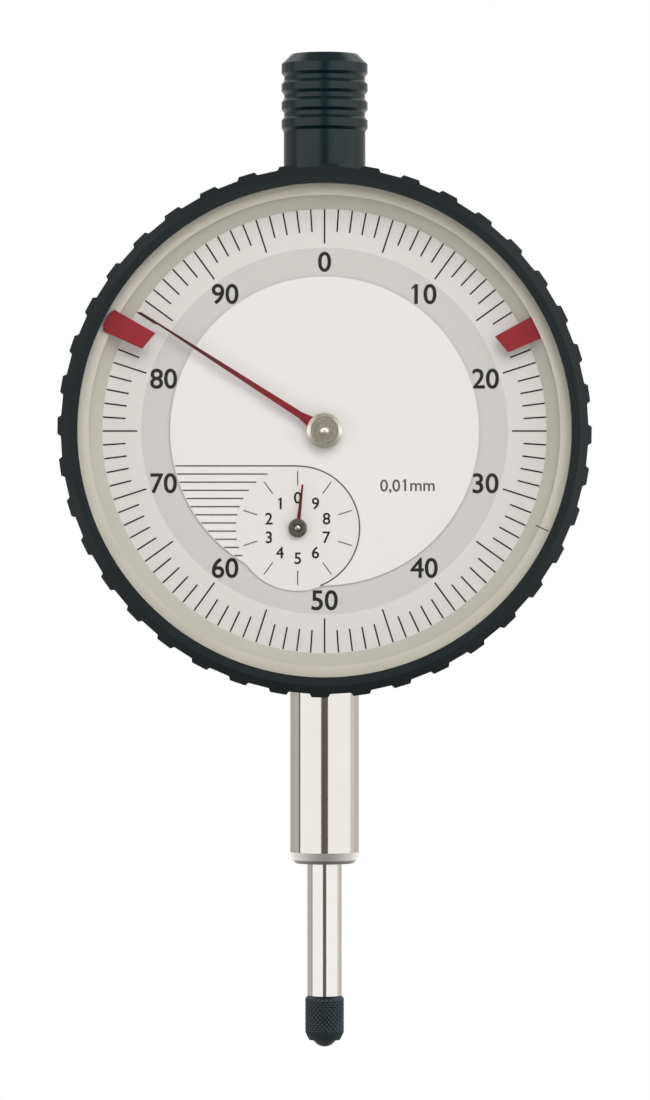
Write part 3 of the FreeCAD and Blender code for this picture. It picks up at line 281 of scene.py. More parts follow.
metals = {
    # stainless steel, cylindrical ground and polished: warm and bright with very fine rings
    "groundStainless": dict(colours=("e9e4de", "f1ede7"), axis="z", marks=0.12, drift=4, relief=0.06, roughness=0.08),
    # hardened tool steel, lapped: the running surface is a little brighter
    "lappedSpindle": dict(colours=("ece9e5", "f4f2ee"), axis="z", marks=0.1, drift=3, relief=0.04, roughness=0.09),
    # hardened steel, black oxide: blue-black, oily sheen
    "blackOxideSteel": dict(colours=("4b5357", "555d61"), axis="z", marks=0.1, drift=1, relief=0.2, roughness=0.4),
    # hardened steel ball, tumbled: smooth, mirrors the dark underneath
    "tumbledBall": dict(colours=("7c7f7f", "868989"), axis="z", marks=0.3, drift=0.8, relief=0.03, roughness=0.16),
    # hardened steel pivot, burnished to a low dome: dark in the middle, bright at the rim
    "burnishedPivot": dict(colours=("e4e1da", "edebe5"), axis="y", marks=0.05, drift=1, relief=0.05, roughness=0.12,
                           dome=0.62, centre=dialCentre),
    "burnishedCounterPivot": dict(colours=("aaa69c", "b5b1a7"), axis="y", marks=0.05, drift=1, relief=0.05,
                                  roughness=0.2, dome=0.5, centre=counterCentre),
    # aluminium, turned then matt anodised champagne: silky and faintly warm
    "anodisedRing": dict(colours=("dad5c6", "e1dccf"), axis="y", marks=0.14, drift=7, relief=0.2, roughness=0.5,
                         metallic=0.2, centre=dialCentre),
    # aluminium, sprayed light grey: the slope between ring and scale
    "sprayedGreyCone": dict(colours=("c2bfb5", "c9c6bc"), axis="y", marks=0.2, drift=6, relief=0.1, roughness=0.6,
                            metallic=0.0, centre=dialCentre),
    # free-cutting steel, nickel plated: pale yellow-white on the pointer's hub
    "nickelledHub": dict(colours=("dcd7c9", "e4e0d3"), axis="y", marks=0.08, drift=1, relief=0.35, roughness=0.27,
                         centre=dialCentre),
    # brass, darkened: the small counter hub
    "darkenedBrassHub": dict(colours=("77736a", "827e74"), axis="y", marks=0.07, drift=0.8, relief=0.3,
                             roughness=0.34, centre=counterCentre),
    # clock brass, milled and grained
    "grainedBrass": dict(colours=("c9a455", "d4b065"), axis="y", marks=0.12, drift=3, relief=0.25, roughness=0.28,
                         centre=dialCentre),
    # tin bronze, bored and reamed
    "reamedBronze": dict(colours=("a8794a", "b58656"), axis="z", marks=0.12, drift=2, relief=0.2, roughness=0.32),
    # spring wire, drawn and tempered: straw-blue steel
    "temperedWire": dict(colours=("8f9193", "9c9fa1"), axis="z", marks=0.15, drift=1, relief=0.15, roughness=0.27),
    # steel screws, turned and nickel plated
    "platedScrewSteel": dict(colours=("b9b8b3", "c6c5c0"), axis="y", marks=0.1, drift=1.5, relief=0.25,
                             roughness=0.26, centre=dialCentre),
    # sheet aluminium, faced and etched
    "facedAluminium": dict(colours=("b7b8b9", "c2c3c4"), axis="y", marks=0.18, drift=5, relief=0.25, roughness=0.36,
                           centre=dialCentre),
}
dialPaint = dict(paper=("ebe8e6", "efecea"), grain=0.12, relief=0.12, depth=0.01, roughness=0.55, specular=0.3)
# printed grounds, radii in mm: the grey band, the paper outside it (tinted a little darker than the centre's paper as
# painted shade of the bezel's recess) and the round field of the counter
band = dict(inner=17.42, outer=20.7, edge=28.1, field=7.2, tint="d3d0cd", outerShadeTint="e2dfdc", fieldTint="e9e6e3")
acrylic = dict(drift=6.0, haze=0.004, tint="fefefe", shade="fbfbfb", ior=1.49)

materials = {name: mouldedPlastic(name, finish) for name, finish in plastics.items()}
materials |= {name: machinedMetal(name, finish) for name, finish in metals.items()}
grounds = {  # about the dial's centre (0) or the counter's (1), from one radius to another
    "scaleLacquer": [(0, band["inner"], band["outer"], band["tint"]),
                     # outside the band the scale ring's paper gets a darker tint: painted shade of the recess under
                     # the bezel
                     (0, band["outer"], band["edge"], band["outerShadeTint"])],
    "centreLacquer": [(0, band["inner"], band["outer"], band["tint"]), (1, 0, band["field"], band["fieldTint"])],
}
materials |= {name: printedLacquer(name, dialPaint | dict(rings=rings)) for name, rings in grounds.items()}
materials["castAcrylic"] = castAcrylic("castAcrylic", acrylic)

finishes = {  # which finish each carried-over node gets
    "mouldedNylonBezel": ["bezel_ring"], "mouldedNylonCap": ["lifting_cap"],
    "pressedRubber": ["bumper_washer", "back_cover_gasket", "crystal_gasket"],
    "sprayedEnamelRed": ["tolerance_marker_left", "tolerance_marker_right"],
    "sprayedEnamelPointer": ["main_pointer"], "sprayedEnamelDark": ["counter_pointer"],
    "powderCoatedCase": ["case_body", "back_cover"],
    "lappedRuby": ["pivot_jewels"],
    "groundStainless": ["mounting_shank", "neck_tube"],
    "lappedSpindle": ["spindle", "guide_pin", "stop_collar", "take_up_arbor"],
    "burnishedPivot": ["centre_arbor"], "burnishedCounterPivot": ["rack_pinion_arbor"],
    "blackOxideSteel": ["contact_body"], "tumbledBall": ["contact_ball"],
    "anodisedRing": ["silver_ring"], "sprayedGreyCone": ["cone_ring"],
    "nickelledHub": ["pointer_hub"], "darkenedBrassHub": ["counter_hub"],
    "grainedBrass": ["base_plate", "movement_bridge", "bridge_pillars", "counter_wheel", "take_up_wheel",
                     "rack_pinion_cock", "hairspring_stud", "hairspring_collet"],
    "reamedBronze": ["shank_guide_bush"],
    "temperedWire": ["bezel_spring_ring", "hairspring", "return_spring"],
    "platedScrewSteel": ["back_cover_screws", "base_plate_screws", "small_movement_screws", "bridge_screws",
                         "spindle_guide_rail", "spring_anchor_post"],
    "facedAluminium": ["scale_retaining_ring"],
    "scaleLacquer": ["scale_ring"], "centreLacquer": ["centre_dial"], "castAcrylic": ["crystal"],
}
for material, members in finishes.items():
    for member in members:
        nodes[member].data.materials.clear()
        nodes[member].data.materials.append(materials[material])


print("printed dial")


def addPiece(name, mesh, material, body):  # a finished mesh joins its body
    mesh.materials.clear()
    mesh.materials.append(materials[material])
    piece = newObject(name, mesh)
    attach(piece, body)
    return piece


def clockPoint(angle, radius, centre):  # clock angle in degrees and radius in mm, as (x, z)
    turn = math.radians(angle)
    return centre.x + radius * mm * math.sin(turn), centre.z + radius * mm * math.cos(turn)


inkDepth = 0.012  # ink stands this far in front of the lacquer, and its back is sunk a little
inkSink = 0.004

rayInputs = (("Count", "NodeSocketInt"), ("Long Every", "NodeSocketInt"), ("Short Inner", "NodeSocketFloat"),
             ("Long Inner", "NodeSocketFloat"), ("Outer", "NodeSocketFloat"), ("Width", "NodeSocketFloat"),
             ("Thickness", "NodeSocketFloat"), ("Centre", "NodeSocketVector"), ("Ink", "NodeSocketMaterial"))


def rayTree():  # rays of ink round a centre, every few of them longer
    tree = bpy.data.node_groups.new("inkRays", "GeometryNodeTree")
    sockets = {name: tree.interface.new_socket(name, in_out="INPUT", socket_type=kind).identifier
               for name, kind in rayInputs}
    tree.interface.new_socket("Geometry", in_out="OUTPUT", socket_type="NodeSocketGeometry")
    given = addNode(tree, "NodeGroupInput").outputs
    points = addNode(tree, "GeometryNodeMeshLine", {"Count": given["Count"], "Offset": (0, 0, 0)})
    index = addNode(tree, "GeometryNodeInputIndex").outputs[0]
    share = addNode(tree, "ShaderNodeMath", {0: index, 1: given["Count"]}, operation="DIVIDE")
    turn = addNode(tree, "ShaderNodeMath", {0: share.outputs[0], 1: math.tau}, operation="MULTIPLY")
    angles = addNode(tree, "ShaderNodeCombineXYZ", {"Y": turn.outputs[0]})
    rest = addNode(tree, "ShaderNodeMath", {0: index, 1: given["Long Every"]}, operation="MODULO")
    isShort = addNode(tree, "ShaderNodeMath", {0: rest.outputs[0], 1: 0.5}, operation="GREATER_THAN")
    isLong = addNode(tree, "ShaderNodeMath", {0: rest.outputs[0], 1: 0.5}, operation="LESS_THAN")
    joined = addNode(tree, "GeometryNodeJoinGeometry")
    for chosen, inner in ((isShort, "Short Inner"), (isLong, "Long Inner")):
        length = addNode(tree, "ShaderNodeMath", {0: given["Outer"], 1: given[inner]}, operation="SUBTRACT")
        total = addNode(tree, "ShaderNodeMath", {0: given["Outer"], 1: given[inner]}, operation="ADD")
        reach = addNode(tree, "ShaderNodeMath", {0: total.outputs[0], 1: 0.5}, operation="MULTIPLY")
        size = addNode(tree, "ShaderNodeCombineXYZ", {"X": given["Width"], "Y": given["Thickness"],
                                                      "Z": length.outputs[0]})
        shift = addNode(tree, "ShaderNodeCombineXYZ", {"Z": reach.outputs[0]})
        stroke = addNode(tree, "GeometryNodeMeshCube", {"Size": size.outputs[0]})
        moved = addNode(tree, "GeometryNodeTransform", {"Geometry": stroke.outputs[0],
                                                        "Translation": shift.outputs[0]})
        placed = addNode(tree, "GeometryNodeInstanceOnPoints", {
            "Points": points.outputs[0], "Selection": chosen.outputs[0], "Instance": moved.outputs[0],
            "Rotation": angles.outputs[0]})
        tree.links.new(placed.outputs[0], joined.inputs[0])
    centred = addNode(tree, "GeometryNodeTransform", {"Geometry": joined.outputs[0],
                                                      "Translation": given["Centre"]})
    real = addNode(tree, "GeometryNodeRealizeInstances", {"Geometry": centred.outputs[0]})
    inked = addNode(tree, "GeometryNodeSetMaterial", {"Geometry": real.outputs[0], "Material": given["Ink"]})
    addNode(tree, "NodeGroupOutput", {"Geometry": inked.outputs[0]})
    return tree, sockets


inkRays, rayIds = rayTree()


def printRays(name, sizes, centre, face, material, body):
    holder = newObject(name + "Holder", bpy.data.meshes.new(name + "Holder"))
    modifier = holder.modifiers.new("rays", "NODES")
    modifier.node_group = inkRays
    values = dict(sizes["counts"]) | {key: size * mm for key, size in sizes["lengths"].items()}
    values |= {"Thickness": (inkDepth + inkSink) * mm, "Ink": materials[material],
               "Centre": (centre.x, face - (inkDepth - inkSink) / 2 * mm, centre.z)}
    for key, value in values.items():
        modifier[rayIds[key]] = value
    mesh = evaluatedMesh(holder)
    mesh.name = name
    return addPiece(name, mesh, material, body)


digitRise = 0.7  # a digit's height over the built-in type's size
oneStroke = dict(length=0.2, width=0.085, drop=0.13, heel=1.2)  # flag of a figure one, in parts of that size
strokeEdge = dict(weld=1e-5, upright=0.5, mitre=0.4, curve=5)  # how lettering is welded, told apart and rounded
meshWeld = 1e-7


def joinMeshes(name, meshes):  # one welded mesh from several
    build = bmesh.new()
    for mesh in meshes:
        build.from_mesh(mesh)
        bpy.data.meshes.remove(mesh)
    bmesh.ops.remove_doubles(build, verts=build.verts, dist=meshWeld)
    bmesh.ops.recalc_face_normals(build, faces=build.faces)
    return meshFrom(build, name)


def oneFlag(mesh, depth):  # the slanting flag at the head of a figure one
    left, top = min(v.co.x for v in mesh.vertices), max(v.co.y for v in mesh.vertices)
    root, tip = left + oneStroke["width"] / 2, left - oneStroke["length"] / 2
    corners = [(root, top), (root, top - oneStroke["width"] * oneStroke["heel"]),
               (tip, top - oneStroke["drop"] - oneStroke["width"]), (tip, top - oneStroke["drop"])]
    build = bmesh.new()
    front, back = ([build.verts.new((x, y, side * depth)) for x, y in corners] for side in (1, -1))
    build.faces.new(front)
    build.faces.new(back[::-1])
    for n in range(len(corners)):
        build.faces.new((front[n - 1], front[n], back[n], back[n - 1]))
    return meshFrom(build, "oneFlag")


def embolden(mesh, weight):  # moves the walls of the lettering outwards and keeps its corners
    build = bmesh.new()
    build.from_mesh(mesh)
    bmesh.ops.remove_doubles(build, verts=build.verts, dist=strokeEdge["weld"])
    bmesh.ops.recalc_face_normals(build, faces=build.faces)
    shifts = []
    for vert in build.verts:
        walls = [face.normal for face in vert.link_faces if abs(face.normal.z) < strokeEdge["upright"]]
        lean = sum(walls, Vector()) / max(1, len(walls))
        shifts.append(lean * weight / max(lean.length_squared, strokeEdge["mitre"]))
    for vert, shift in zip(build.verts, shifts):
        vert.co += shift
    build.to_mesh(mesh)
    build.free()


def textMesh(words, height, weight):  # upright lettering facing the reader, centred, height in mm
    curve = bpy.data.curves.new("lettering", "FONT")
    curve.body, curve.size = words, 1.0
    curve.align_x, curve.align_y = "CENTER", "CENTER"
    curve.resolution_u = strokeEdge["curve"]
    curve.extrude = (inkDepth + inkSink) / 2 / height * digitRise
    mesh = evaluatedMesh(newObject("lettering", curve))
    embolden(mesh, weight)
    if words.startswith("1"):
        mesh = joinMeshes("lettering", [mesh, oneFlag(mesh, curve.extrude)])
    spots = [v.co for v in mesh.vertices]
    centre = [(min(c[i] for c in spots) + max(c[i] for c in spots)) / 2 for i in (0, 1)]
    mesh.transform(Matrix.Translation((-centre[0], -centre[1], 0)))
    mesh.transform(Matrix.Rotation(math.radians(90), 4, "X") @ Matrix.Scale(height * mm / digitRise, 4))
    return mesh


def printedWords(words, sizes, spot, face):  # lettering laid on a printed face at an (x, z) spot
    mesh = textMesh(words, sizes["height"], sizes["weight"])
    mesh.transform(Matrix.Translation((spot[0], face - (inkDepth - inkSink) / 2 * mm, spot[1])))
    return mesh


def numberRing(name, labels, sizes, centre, face, material, body):
    step = sizes["sense"] * 360 / len(labels)
    meshes = [printedWords(label, sizes, clockPoint(place * step, sizes["radius"], centre), face)
              for place, label in enumerate(labels)]
    return addPiece(name, joinMeshes(name, meshes), material, body)


def inkBar(start, end, width, face):  # straight printed line between two (x, z) points, in metres
    along = Vector((end[0] - start[0], 0, end[1] - start[1]))
    side = Vector((-along.z, 0, along.x)).normalized() * width * mm / 2
    build = bmesh.new()
    bmesh.ops.create_cube(build, size=1)
    front, back = face - inkDepth * mm, face + inkSink * mm
    for corner in build.verts:
        share = corner.co.x + 0.5
        point = Vector((start[0], 0, start[1])) + along * share + side * (corner.co.z * 2)
        point.y = back if corner.co.y > 0 else front
        corner.co = point
    bmesh.ops.recalc_face_normals(build, faces=build.faces)
    return meshFrom(build, "inkBar")


arcStep = 3  # degrees


def inkArc(sizes, centre, face):  # printed arc between two clock angles
    span = sizes["end"] - sizes["start"]
    steps = round(span / arcStep)
    build = bmesh.new()
    rows = []
    for step in range(steps + 1):
        angle = sizes["start"] + span * step / steps
        corners = []
        for reach in (sizes["radius"] - sizes["width"] / 2, sizes["radius"] + sizes["width"] / 2):
            x, z = clockPoint(angle, reach, centre)
            corners += [build.verts.new((x, face - inkDepth * mm, z)), build.verts.new((x, face + inkSink * mm, z))]
        rows.append([corners[0], corners[2], corners[3], corners[1]])
    for here, there in zip(rows, rows[1:]):
        for side in range(4):
            other = (side + 1) % 4
            build.faces.new((here[side], here[other], there[other], there[side]))
    build.faces.new(rows[0])
    build.faces.new(rows[-1][::-1])
    bmesh.ops.recalc_face_normals(build, faces=build.faces)
    return meshFrom(build, "inkArc")


scaleRays = dict(counts={"Count": 100, "Long Every": 5},
                 lengths={"Short Inner": 22.5, "Long Inner": 21.15, "Outer": 25.05, "Width": 0.18})
counterRays = dict(counts={"Count": 10, "Long Every": 1},
                   lengths={"Short Inner": 4.8, "Long Inner": 4.8, "Outer": 6.45, "Width": 0.13})
scaleNumbers = dict(height=2.2, weight=0.016, radius=19.1, sense=1)
counterNumbers = dict(height=1.29, weight=0.016, radius=3.42, sense=-1)
# lines from the band's inner edge to the counter's field; one shorter than least is left out
hatch = dict(lines=13, pitch=0.92, top=7.01, width=0.16, leftCircle=17.36, rightCircle=6.97, least=0.12,
             topLeft=-16.85)
arc = dict(radius=6.98, width=0.16, start=0, end=158.7)
ringSeam = dict(angle=114.2, inner=26.0, outer=27.6, width=0.14)  # the ring is split once
unitMark = dict(height=1.34, weight=0.012, parts=(("0,0", 7.4, -6.27), ("1mm", 10.61, -6.11)))


def printDial():
    printRays("scaleRays", scaleRays, dialCentre, scaleFace, "screenInk", "bezel")
    printRays("counterRays", counterRays, counterCentre, centreFace, "screenInkGrey", "housing")
    numberRing("scaleNumbers", [str(n) for n in range(0, 100, 10)], scaleNumbers, dialCentre, scaleFace,
               "screenInk", "bezel")
    numberRing("counterNumbers", [str(n) for n in range(10)], counterNumbers, counterCentre, centreFace,
               "screenInk", "housing")
    lines = [inkArc(arc, counterCentre, centreFace)]
    for line in range(hatch["lines"]):
        z = counterCentre.z + (hatch["top"] - line * hatch["pitch"]) * mm
        left = dialCentre.x - math.sqrt((hatch["leftCircle"] * mm) ** 2 - (z - dialCentre.z) ** 2)
        gap = (hatch["rightCircle"] * mm) ** 2 - (z - counterCentre.z) ** 2
        right = counterCentre.x - math.sqrt(max(gap, 0))
        if line == 0:  # the top line runs on to the arc
            left, right = dialCentre.x + hatch["topLeft"] * mm, counterCentre.x
        if right - left > hatch["least"] * mm:
            lines.append(inkBar((left, z), (right, z), hatch["width"], centreFace))
    addPiece("counterLines", joinMeshes("counterLines", lines), "screenInkGrey", "housing")
    seam = inkBar(clockPoint(ringSeam["angle"], ringSeam["inner"], dialCentre),
                  clockPoint(ringSeam["angle"], ringSeam["outer"], dialCentre), ringSeam["width"],
                  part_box("silver_ring")[0].y)
    addPiece("ringSeam", seam, "screenInkGrey", "bezel")
    unit = [printedWords(words, unitMark, (dialCentre.x + right * mm, dialCentre.z + up * mm), centreFace)
            for words, right, up in unitMark["parts"]]
    addPiece("unitMark", joinMeshes("unitMark", unit), "screenInkGrey", "housing")


printDial()

print("turned hubs, cap, contact point and spring")


smoothLimit = 28  # degrees; a sharper edge stays an edge


def turnedMesh(name, profile, centre, axis, segments=96):  # closed, turned about y or z; profile (radius, reach)
    build = bmesh.new()
    rings = []
    for radius, reach in profile:
        if radius == 0:
            rings.append([build.verts.new((0, 0, reach * mm))])
            continue
        rings.append([build.verts.new((radius * mm * math.cos(math.tau * n / segments),
                                       radius * mm * math.sin(math.tau * n / segments), reach * mm))
                      for n in range(segments)])
    for here, there in zip(rings, rings[1:]):
        for n in range(segments):
            m = (n + 1) % segments
            corners = [here[n % len(here)], here[m % len(here)], there[m % len(there)], there[n % len(there)]]
            build.faces.new(list(dict.fromkeys(corners)))
    bmesh.ops.recalc_face_normals(build, faces=build.faces)
    for face in build.faces:
        face.smooth = True
    mesh = meshFrom(build, name)
    turn = Matrix.Rotation(math.radians(90), 4, "X") if axis == "y" else Matrix.Identity(4)
    mesh.transform(Matrix.Translation(centre) @ turn)
    mesh.set_sharp_from_angle(angle=math.radians(smoothLimit))
    return mesh


pointerHub = dict(radius=2.0, bevelWidth=0.42, bevelDepth=0.3, eye=0.5, eyeEdge=0.06, eyeDepth=0.12)
counterHub = dict(radius=1.05, bevelWidth=0.2, bevelDepth=0.17, eye=0.26, eyeEdge=0.05, eyeDepth=0.07)


def hubProfile(sizes, depth):  # from the back centre, over the bevelled rim, down into the pivot's eye
    return [(0, -depth), (sizes["radius"], -depth), (sizes["radius"], -sizes["bevelDepth"]),
            (sizes["radius"] - sizes["bevelWidth"], 0), (sizes["eye"] + sizes["eyeEdge"], 0),
            (sizes["eye"], -sizes["eyeDepth"]), (0, -sizes["eyeDepth"])]


def makeHub(name, node, sizes, material, body):
    low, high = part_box(node)
    front = Vector((middle(node).x, low.y, middle(node).z))
    mesh = turnedMesh(name, hubProfile(sizes, (high.y - low.y) / mm), front, "y")
    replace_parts(addPiece(name, mesh, material, body), node)


capShape = dict(radius=4.96, groove=4.66, skirt=4.7, chamfer=1.12, grooves=(7.64, 9.72, 11.8), width=1.24,
                flank=0.37, lowestRing=0.92, wall=1.6, thread=1.25, threadDepth=1.0, play=0.3, segments=128)


def capProfile(sizes, length, bore):  # up the bored inside to the thread, then down to the rim and up the rings
    ceiling = length - sizes["wall"]
    deep = ceiling + sizes["threadDepth"]
    lowEdge = sizes["grooves"][0] - sizes["width"] / 2 - sizes["lowestRing"]
    outline = [(0, deep), (sizes["thread"], deep), (sizes["thread"], ceiling), (bore, ceiling), (bore, 0),
               (sizes["skirt"], 0), (sizes["skirt"], lowEdge - sizes["flank"]), (sizes["radius"], lowEdge)]
    for centre in sizes["grooves"]:
        low, high = centre - sizes["width"] / 2, centre + sizes["width"] / 2
        outline += [(sizes["radius"], low), (sizes["groove"], low + sizes["flank"]),
                    (sizes["groove"], high - sizes["flank"]), (sizes["radius"], high)]
    return outline + [(sizes["radius"], length - sizes["chamfer"]), (sizes["radius"] - sizes["chamfer"], length),
                      (0, length)]


def makeCap():  # its skirt slides over the neck tube with some play
    low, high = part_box("lifting_cap")
    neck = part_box("neck_tube")
    bore = (neck[1].x - neck[0].x) / 2 / mm + capShape["play"]
    mesh = turnedMesh("ringedCap", capProfile(capShape, (high.z - low.z) / mm, bore),
                      Vector((spindleAxis.x, spindleAxis.y, low.z)), "z", capShape["segments"])
    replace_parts(addPiece("ringedCap", mesh, "mouldedNylonCap", "spindle"), "lifting_cap")


contactGrip = dict(lines=26, slope=1.0, peak=2, depth=0.11, around=208, rows=72, rim=0.3, run=0.25, least=0.3,
                   tip=1.8, taper=0.9, seat=1.28, throat=1.2, seatDepth=0.25, throatDepth=0.55, stub=1.2)


def knurlHeight(turn, height, sizes):  # 0 in a groove, 1 on a diamond's peak
    lean = height / (math.tau * sizes["radius"]) * sizes["slope"]
    waves = [abs(((turn + sense * lean) * sizes["lines"]) % 1 - 0.5) * 2 for sense in (1, -1)]
    return min(1.0, sizes["peak"] * (1 - max(waves)))


def makeContact():  # the knurl runs down over the taper and fades out towards the top rim
    low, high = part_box("contact_body")
    sizes = contactGrip | dict(radius=(high.x - low.x) / 2 / mm)
    bottom, top, gripTop = low.z / mm, high.z / mm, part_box("spindle")[0].z / mm
    gripEnd, taperEnd = gripTop - sizes["rim"], bottom + sizes["taper"]
    outline = [(sizes["throat"], bottom + sizes["throatDepth"]), (sizes["throat"], bottom + sizes["seatDepth"]),
               (sizes["seat"], bottom), (sizes["tip"], bottom), (sizes["radius"], taperEnd)]
    outline += [(sizes["radius"], taperEnd + (gripEnd - taperEnd) * n / sizes["rows"])
                for n in range(1, sizes["rows"] + 1)]
    outline += [(sizes["radius"] - sizes["rim"], gripTop), (sizes["stub"], gripTop), (sizes["stub"], top)]
    build = bmesh.new()
    rings = []
    for radius, height in outline:
        knurled = radius in (sizes["radius"], sizes["tip"])
        fade = min(1, max(sizes["least"], (gripEnd - height) / sizes["run"])) if height > bottom else 0
        ring = []
        for n in range(sizes["around"]):
            cut = sizes["depth"] * fade * (1 - knurlHeight(n / sizes["around"], height - bottom, sizes))
            reach = (radius - cut if knurled else radius) * mm
            angle = math.tau * n / sizes["around"]
            ring.append(build.verts.new((reach * math.cos(angle), reach * math.sin(angle), height * mm)))
        rings.append(ring)
    for here, there in zip(rings, rings[1:]):
        for n in range(sizes["around"]):
            m = (n + 1) % sizes["around"]
            build.faces.new((here[n], here[m], there[m], there[n]))
    build.faces.new(rings[0])
    build.faces.new(rings[-1])
    bmesh.ops.recalc_face_normals(build, faces=build.faces)
    mesh = meshFrom(build, "knurledContact")
    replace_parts(addPiece("knurledContact", mesh, "blackOxideSteel", "spindle"), "contact_body")


springSizes = dict(wire=0.3, roundness=1, coils=44, perCoil=18, eyeTurn=0.75, loopSteps=14)


def springPath(sizes):  # lower eye on the post, close coils, upper eye on the guide pin
    low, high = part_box("return_spring")
    axis = (low + high) / 2
    radius = ((high.x - low.x) / mm - sizes["wire"]) / 2
    start = low.z / mm + sizes["wire"] / 2 + 2 * radius
    end = high.z / mm - sizes["wire"] / 2 - 2 * radius
    eye = [math.tau * sizes["eyeTurn"] * n / sizes["loopSteps"] for n in range(sizes["loopSteps"] + 1)]
    points = [Vector((radius * math.cos(angle), 0, start - radius - radius * math.sin(angle)))
              for angle in reversed(eye)]
    total = sizes["coils"] * sizes["perCoil"]
    for n in range(total + 1):
        angle = math.tau * n / sizes["perCoil"]
        points.append(Vector((radius * math.cos(angle), radius * math.sin(angle), start + (end - start) * n / total)))
    points += [Vector((radius * math.cos(angle), 0, end + radius + radius * math.sin(angle))) for angle in eye]
    return [Vector((axis.x, axis.y, 0)) + point * mm for point in points], start * mm, end * mm


def makeSpring():
    points, start, end = springPath(springSizes)
    curve = bpy.data.curves.new("springWire", "CURVE")
    curve.dimensions = "3D"
    curve.bevel_depth = springSizes["wire"] / 2 * mm
    curve.bevel_resolution = springSizes["roundness"]
    curve.use_fill_caps = True
    spline = curve.splines.new("POLY")
    spline.points.add(len(points) - 1)
    for spot, point in zip(spline.points, points):
        spot.co = (*point, 1)
    mesh = joinMeshes("returnSpringWire", [evaluatedMesh(newObject("springWire", curve))])
    mesh.materials.append(materials["temperedWire"])
    piece = newObject("returnSpringWire", mesh)
    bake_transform(piece)
    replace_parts(piece, "return_spring")


makeHub("pointerHubDisc", "pointer_hub", pointerHub, "nickelledHub", "pointer")
makeHub("counterHubDisc", "counter_hub", counterHub, "darkenedBrassHub", "counter")
makeCap()
makeContact()
makeSpring()

print("stage, lights and camera")

# what mirrors see of the floor is dark near the object and grows pale sooner to the sides
stageSizes = dict(floorDrop=0.13, floorRadius=6.0, nearWhite=0.25, farWhite=0.8, nearShare=0.88, paper="f2f2f0",
                  mirrorNear=0.1, mirrorFar=0.9, mirrorShare=0.06, mirrorStretch=1.5)
lampSizes = dict(key=dict(place=(0.14, -0.9, 0.5), size=0.75, power=6.6),
                 left=dict(place=(-0.75, -0.45, 0.1), size=0.5, power=0.8),
                 right=dict(place=(0.75, -0.45, 0.1), size=0.5, power=0.9))
mirrorCards = dict(
    behindCamera=dict(place=(0, -0.8, dialCentre.z - 0.03), width=0.32, height=0.8, turn=0, tone="605b55"),
    leftGap=dict(place=(-0.9, 0.02, 0), width=0.11, height=1.4, turn=90, tone="6a6864"),
    leftPanel=dict(place=(-0.9, 0.275, 0), width=0.4, height=1.4, turn=90, tone="b9b8b5"),
    leftFrame=dict(place=(-0.62, 0.72, 0), width=0.75, height=1.6, turn=49, tone="b4b1ac"),
    rightPanel=dict(place=(0.9, 0.28, 0), width=0.39, height=1.4, turn=-90, tone="d6d0ca"),
    rightFrame=dict(place=(0.62, 0.72, 0), width=0.75, height=1.6, turn=-49, tone="c2c0bd"),
    ceiling=dict(place=(0, -0.15, 0.8), width=1.1, height=0.9, turn=0, tone="7c7a76", tilt=0))
roomLight = 0.38  # what the pale room adds to the shadows
cameraSizes = dict(aside=0.00005, back=0.6, belowDial=0.01343, lens=170.84, sensor=36.0)


def rayShare(tree, *kinds):  # 1 for the named kinds of ray, otherwise 0
    rays = addNode(tree, "ShaderNodeLightPath").outputs
    share = rays[kinds[0]]
    for kind in kinds[1:]:
        share = addNode(tree, "ShaderNodeMath", {0: share, 1: rays[kind]}, operation="MAXIMUM").outputs[0]
    return share


def makeFloor():  # white to the camera; mirrors see it dark close by, white farther off
    material, tree = newMaterial("paperFloor")
    place = addNode(tree, "ShaderNodeTexCoord").outputs["Object"]
    far = addNode(tree, "ShaderNodeVectorMath", {0: place}, operation="LENGTH").outputs["Value"]
    wide = addNode(tree, "ShaderNodeVectorMath", {0: place, 1: (stageSizes["mirrorStretch"], 1, 1)},
                   operation="MULTIPLY")
    beside = addNode(tree, "ShaderNodeVectorMath", {0: wide.outputs[0]}, operation="LENGTH").outputs["Value"]
    white = addNode(tree, "ShaderNodeMapRange", {
        "Value": far, "From Min": stageSizes["nearWhite"], "From Max": stageSizes["farWhite"],
        "To Min": stageSizes["nearShare"], "To Max": 1.0}, interpolation_type="SMOOTHSTEP")
    mirrored = addNode(tree, "ShaderNodeMapRange", {
        "Value": beside, "From Min": stageSizes["mirrorNear"], "From Max": stageSizes["mirrorFar"],
        "To Min": stageSizes["mirrorShare"], "To Max": 1.0})
    share = addNode(tree, "ShaderNodeMath", {0: rayShare(tree, "Is Camera Ray"), 1: white.outputs[0]},
                    operation="MULTIPLY")
    paper = addNode(tree, "ShaderNodeBsdfDiffuse", {"Color": hexColour(stageSizes["paper"])})
    glow = addNode(tree, "ShaderNodeEmission", {"Color": (1, 1, 1, 1)})
    reflected = addNode(tree, "ShaderNodeEmission", {"Color": mirrored.outputs[0]})
    seen = addNode(tree, "ShaderNodeMixShader", {0: share.outputs[0], 1: paper.outputs[0], 2: glow.outputs[0]})
    closeMaterial(tree, addNode(tree, "ShaderNodeMixShader", {
        0: rayShare(tree, "Is Glossy Ray", "Is Transmission Ray"), 1: seen.outputs[0],
        2: reflected.outputs[0]}).outputs[0])
    build = bmesh.new()
    bmesh.ops.create_circle(build, cap_ends=True, segments=96, radius=stageSizes["floorRadius"])
    mesh = meshFrom(build, "floor")
    mesh.transform(Matrix.Translation((0, 0, cadBox[0].z - stageSizes["floorDrop"])))
    mesh.materials.append(material)
    newObject("floor", mesh)


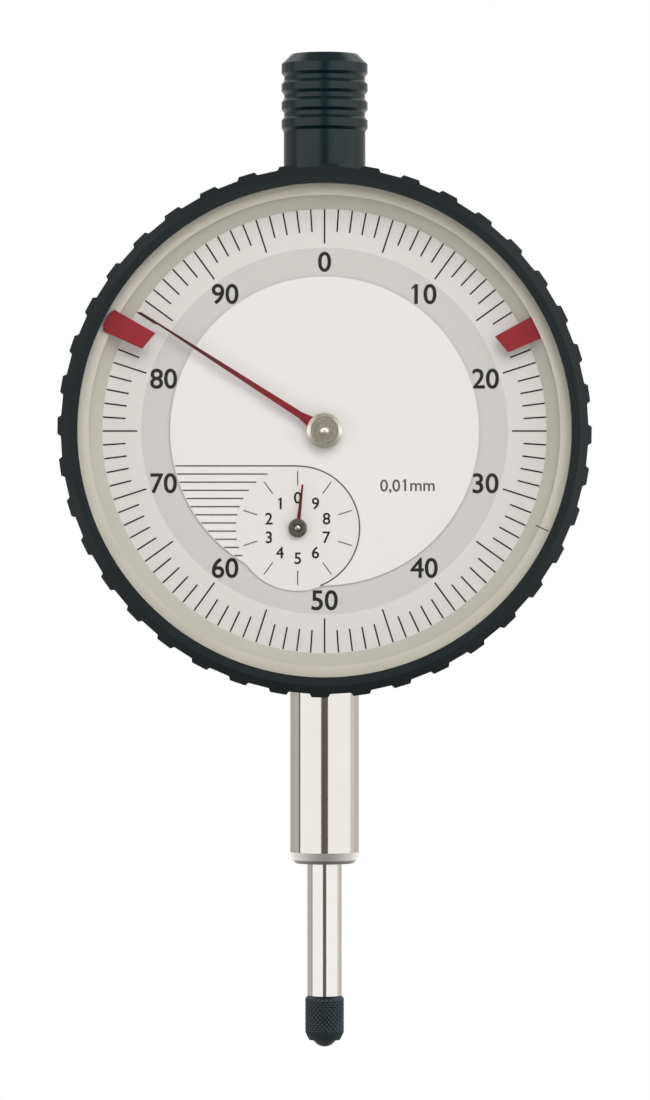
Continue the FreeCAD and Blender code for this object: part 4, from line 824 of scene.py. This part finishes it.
# a gap or frame round the soft boxes, seen only in reflections
def mirrorCard(name, place, width, height, turn, tone, tilt=90):
    material, tree = newMaterial(name + "Felt")
    closeMaterial(tree, addNode(tree, "ShaderNodeEmission", {"Color": hexColour(tone)}).outputs[0])
    build = bmesh.new()
    bmesh.ops.create_grid(build, x_segments=1, y_segments=1, size=0.5)
    mesh = meshFrom(build, name)
    mesh.transform(Matrix.Translation(place) @ Matrix.Rotation(math.radians(turn), 4, "Z")
                   @ Matrix.Rotation(math.radians(tilt), 4, "X") @ Matrix.Diagonal((width, height, 1, 1)))
    mesh.materials.append(material)
    card = newObject(name, mesh)
    card.visible_camera = False
    card.visible_diffuse = False
    card.visible_shadow = False


def makeWorld():
    world = bpy.data.worlds.new("studio")
    bpy.context.scene.world = world
    world.use_nodes = True
    tree = world.node_tree
    tree.nodes.clear()
    room = addNode(tree, "ShaderNodeBackground", {"Color": (1, 1, 1, 1), "Strength": roomLight})
    white = addNode(tree, "ShaderNodeBackground", {"Color": (1, 1, 1, 1), "Strength": 1.0})
    seen = addNode(tree, "ShaderNodeMixShader", {
        0: rayShare(tree, "Is Camera Ray", "Is Glossy Ray", "Is Transmission Ray"), 1: room.outputs[0],
        2: white.outputs[0]})
    addNode(tree, "ShaderNodeOutputWorld", {"Surface": seen.outputs[0]})


def makeLamps():
    for name, lamp in lampSizes.items():
        light = bpy.data.lights.new(name, "AREA")
        light.shape, light.size, light.energy = "SQUARE", lamp["size"], lamp["power"]
        thing = newObject(name, light)
        thing.location = lamp["place"]
        thing.rotation_euler = (dialCentre - thing.location).to_track_quat("-Z", "Y").to_euler()
        thing.visible_camera = False
        thing.visible_glossy = False


def makeCamera():
    camera = newObject("portrait", bpy.data.cameras.new("portrait"))
    camera.location = (cameraSizes["aside"], -cameraSizes["back"], dialCentre.z - cameraSizes["belowDial"])
    camera.rotation_euler = (math.radians(90), 0, 0)
    camera.data.lens = cameraSizes["lens"]
    camera.data.sensor_width = cameraSizes["sensor"]
    bpy.context.scene.camera = camera
    bpy.context.scene.view_settings.view_transform = "Standard"


makeFloor()
for cardName, card in mirrorCards.items():
    mirrorCard(cardName, **card)
makeWorld()
makeLamps()
makeCamera()
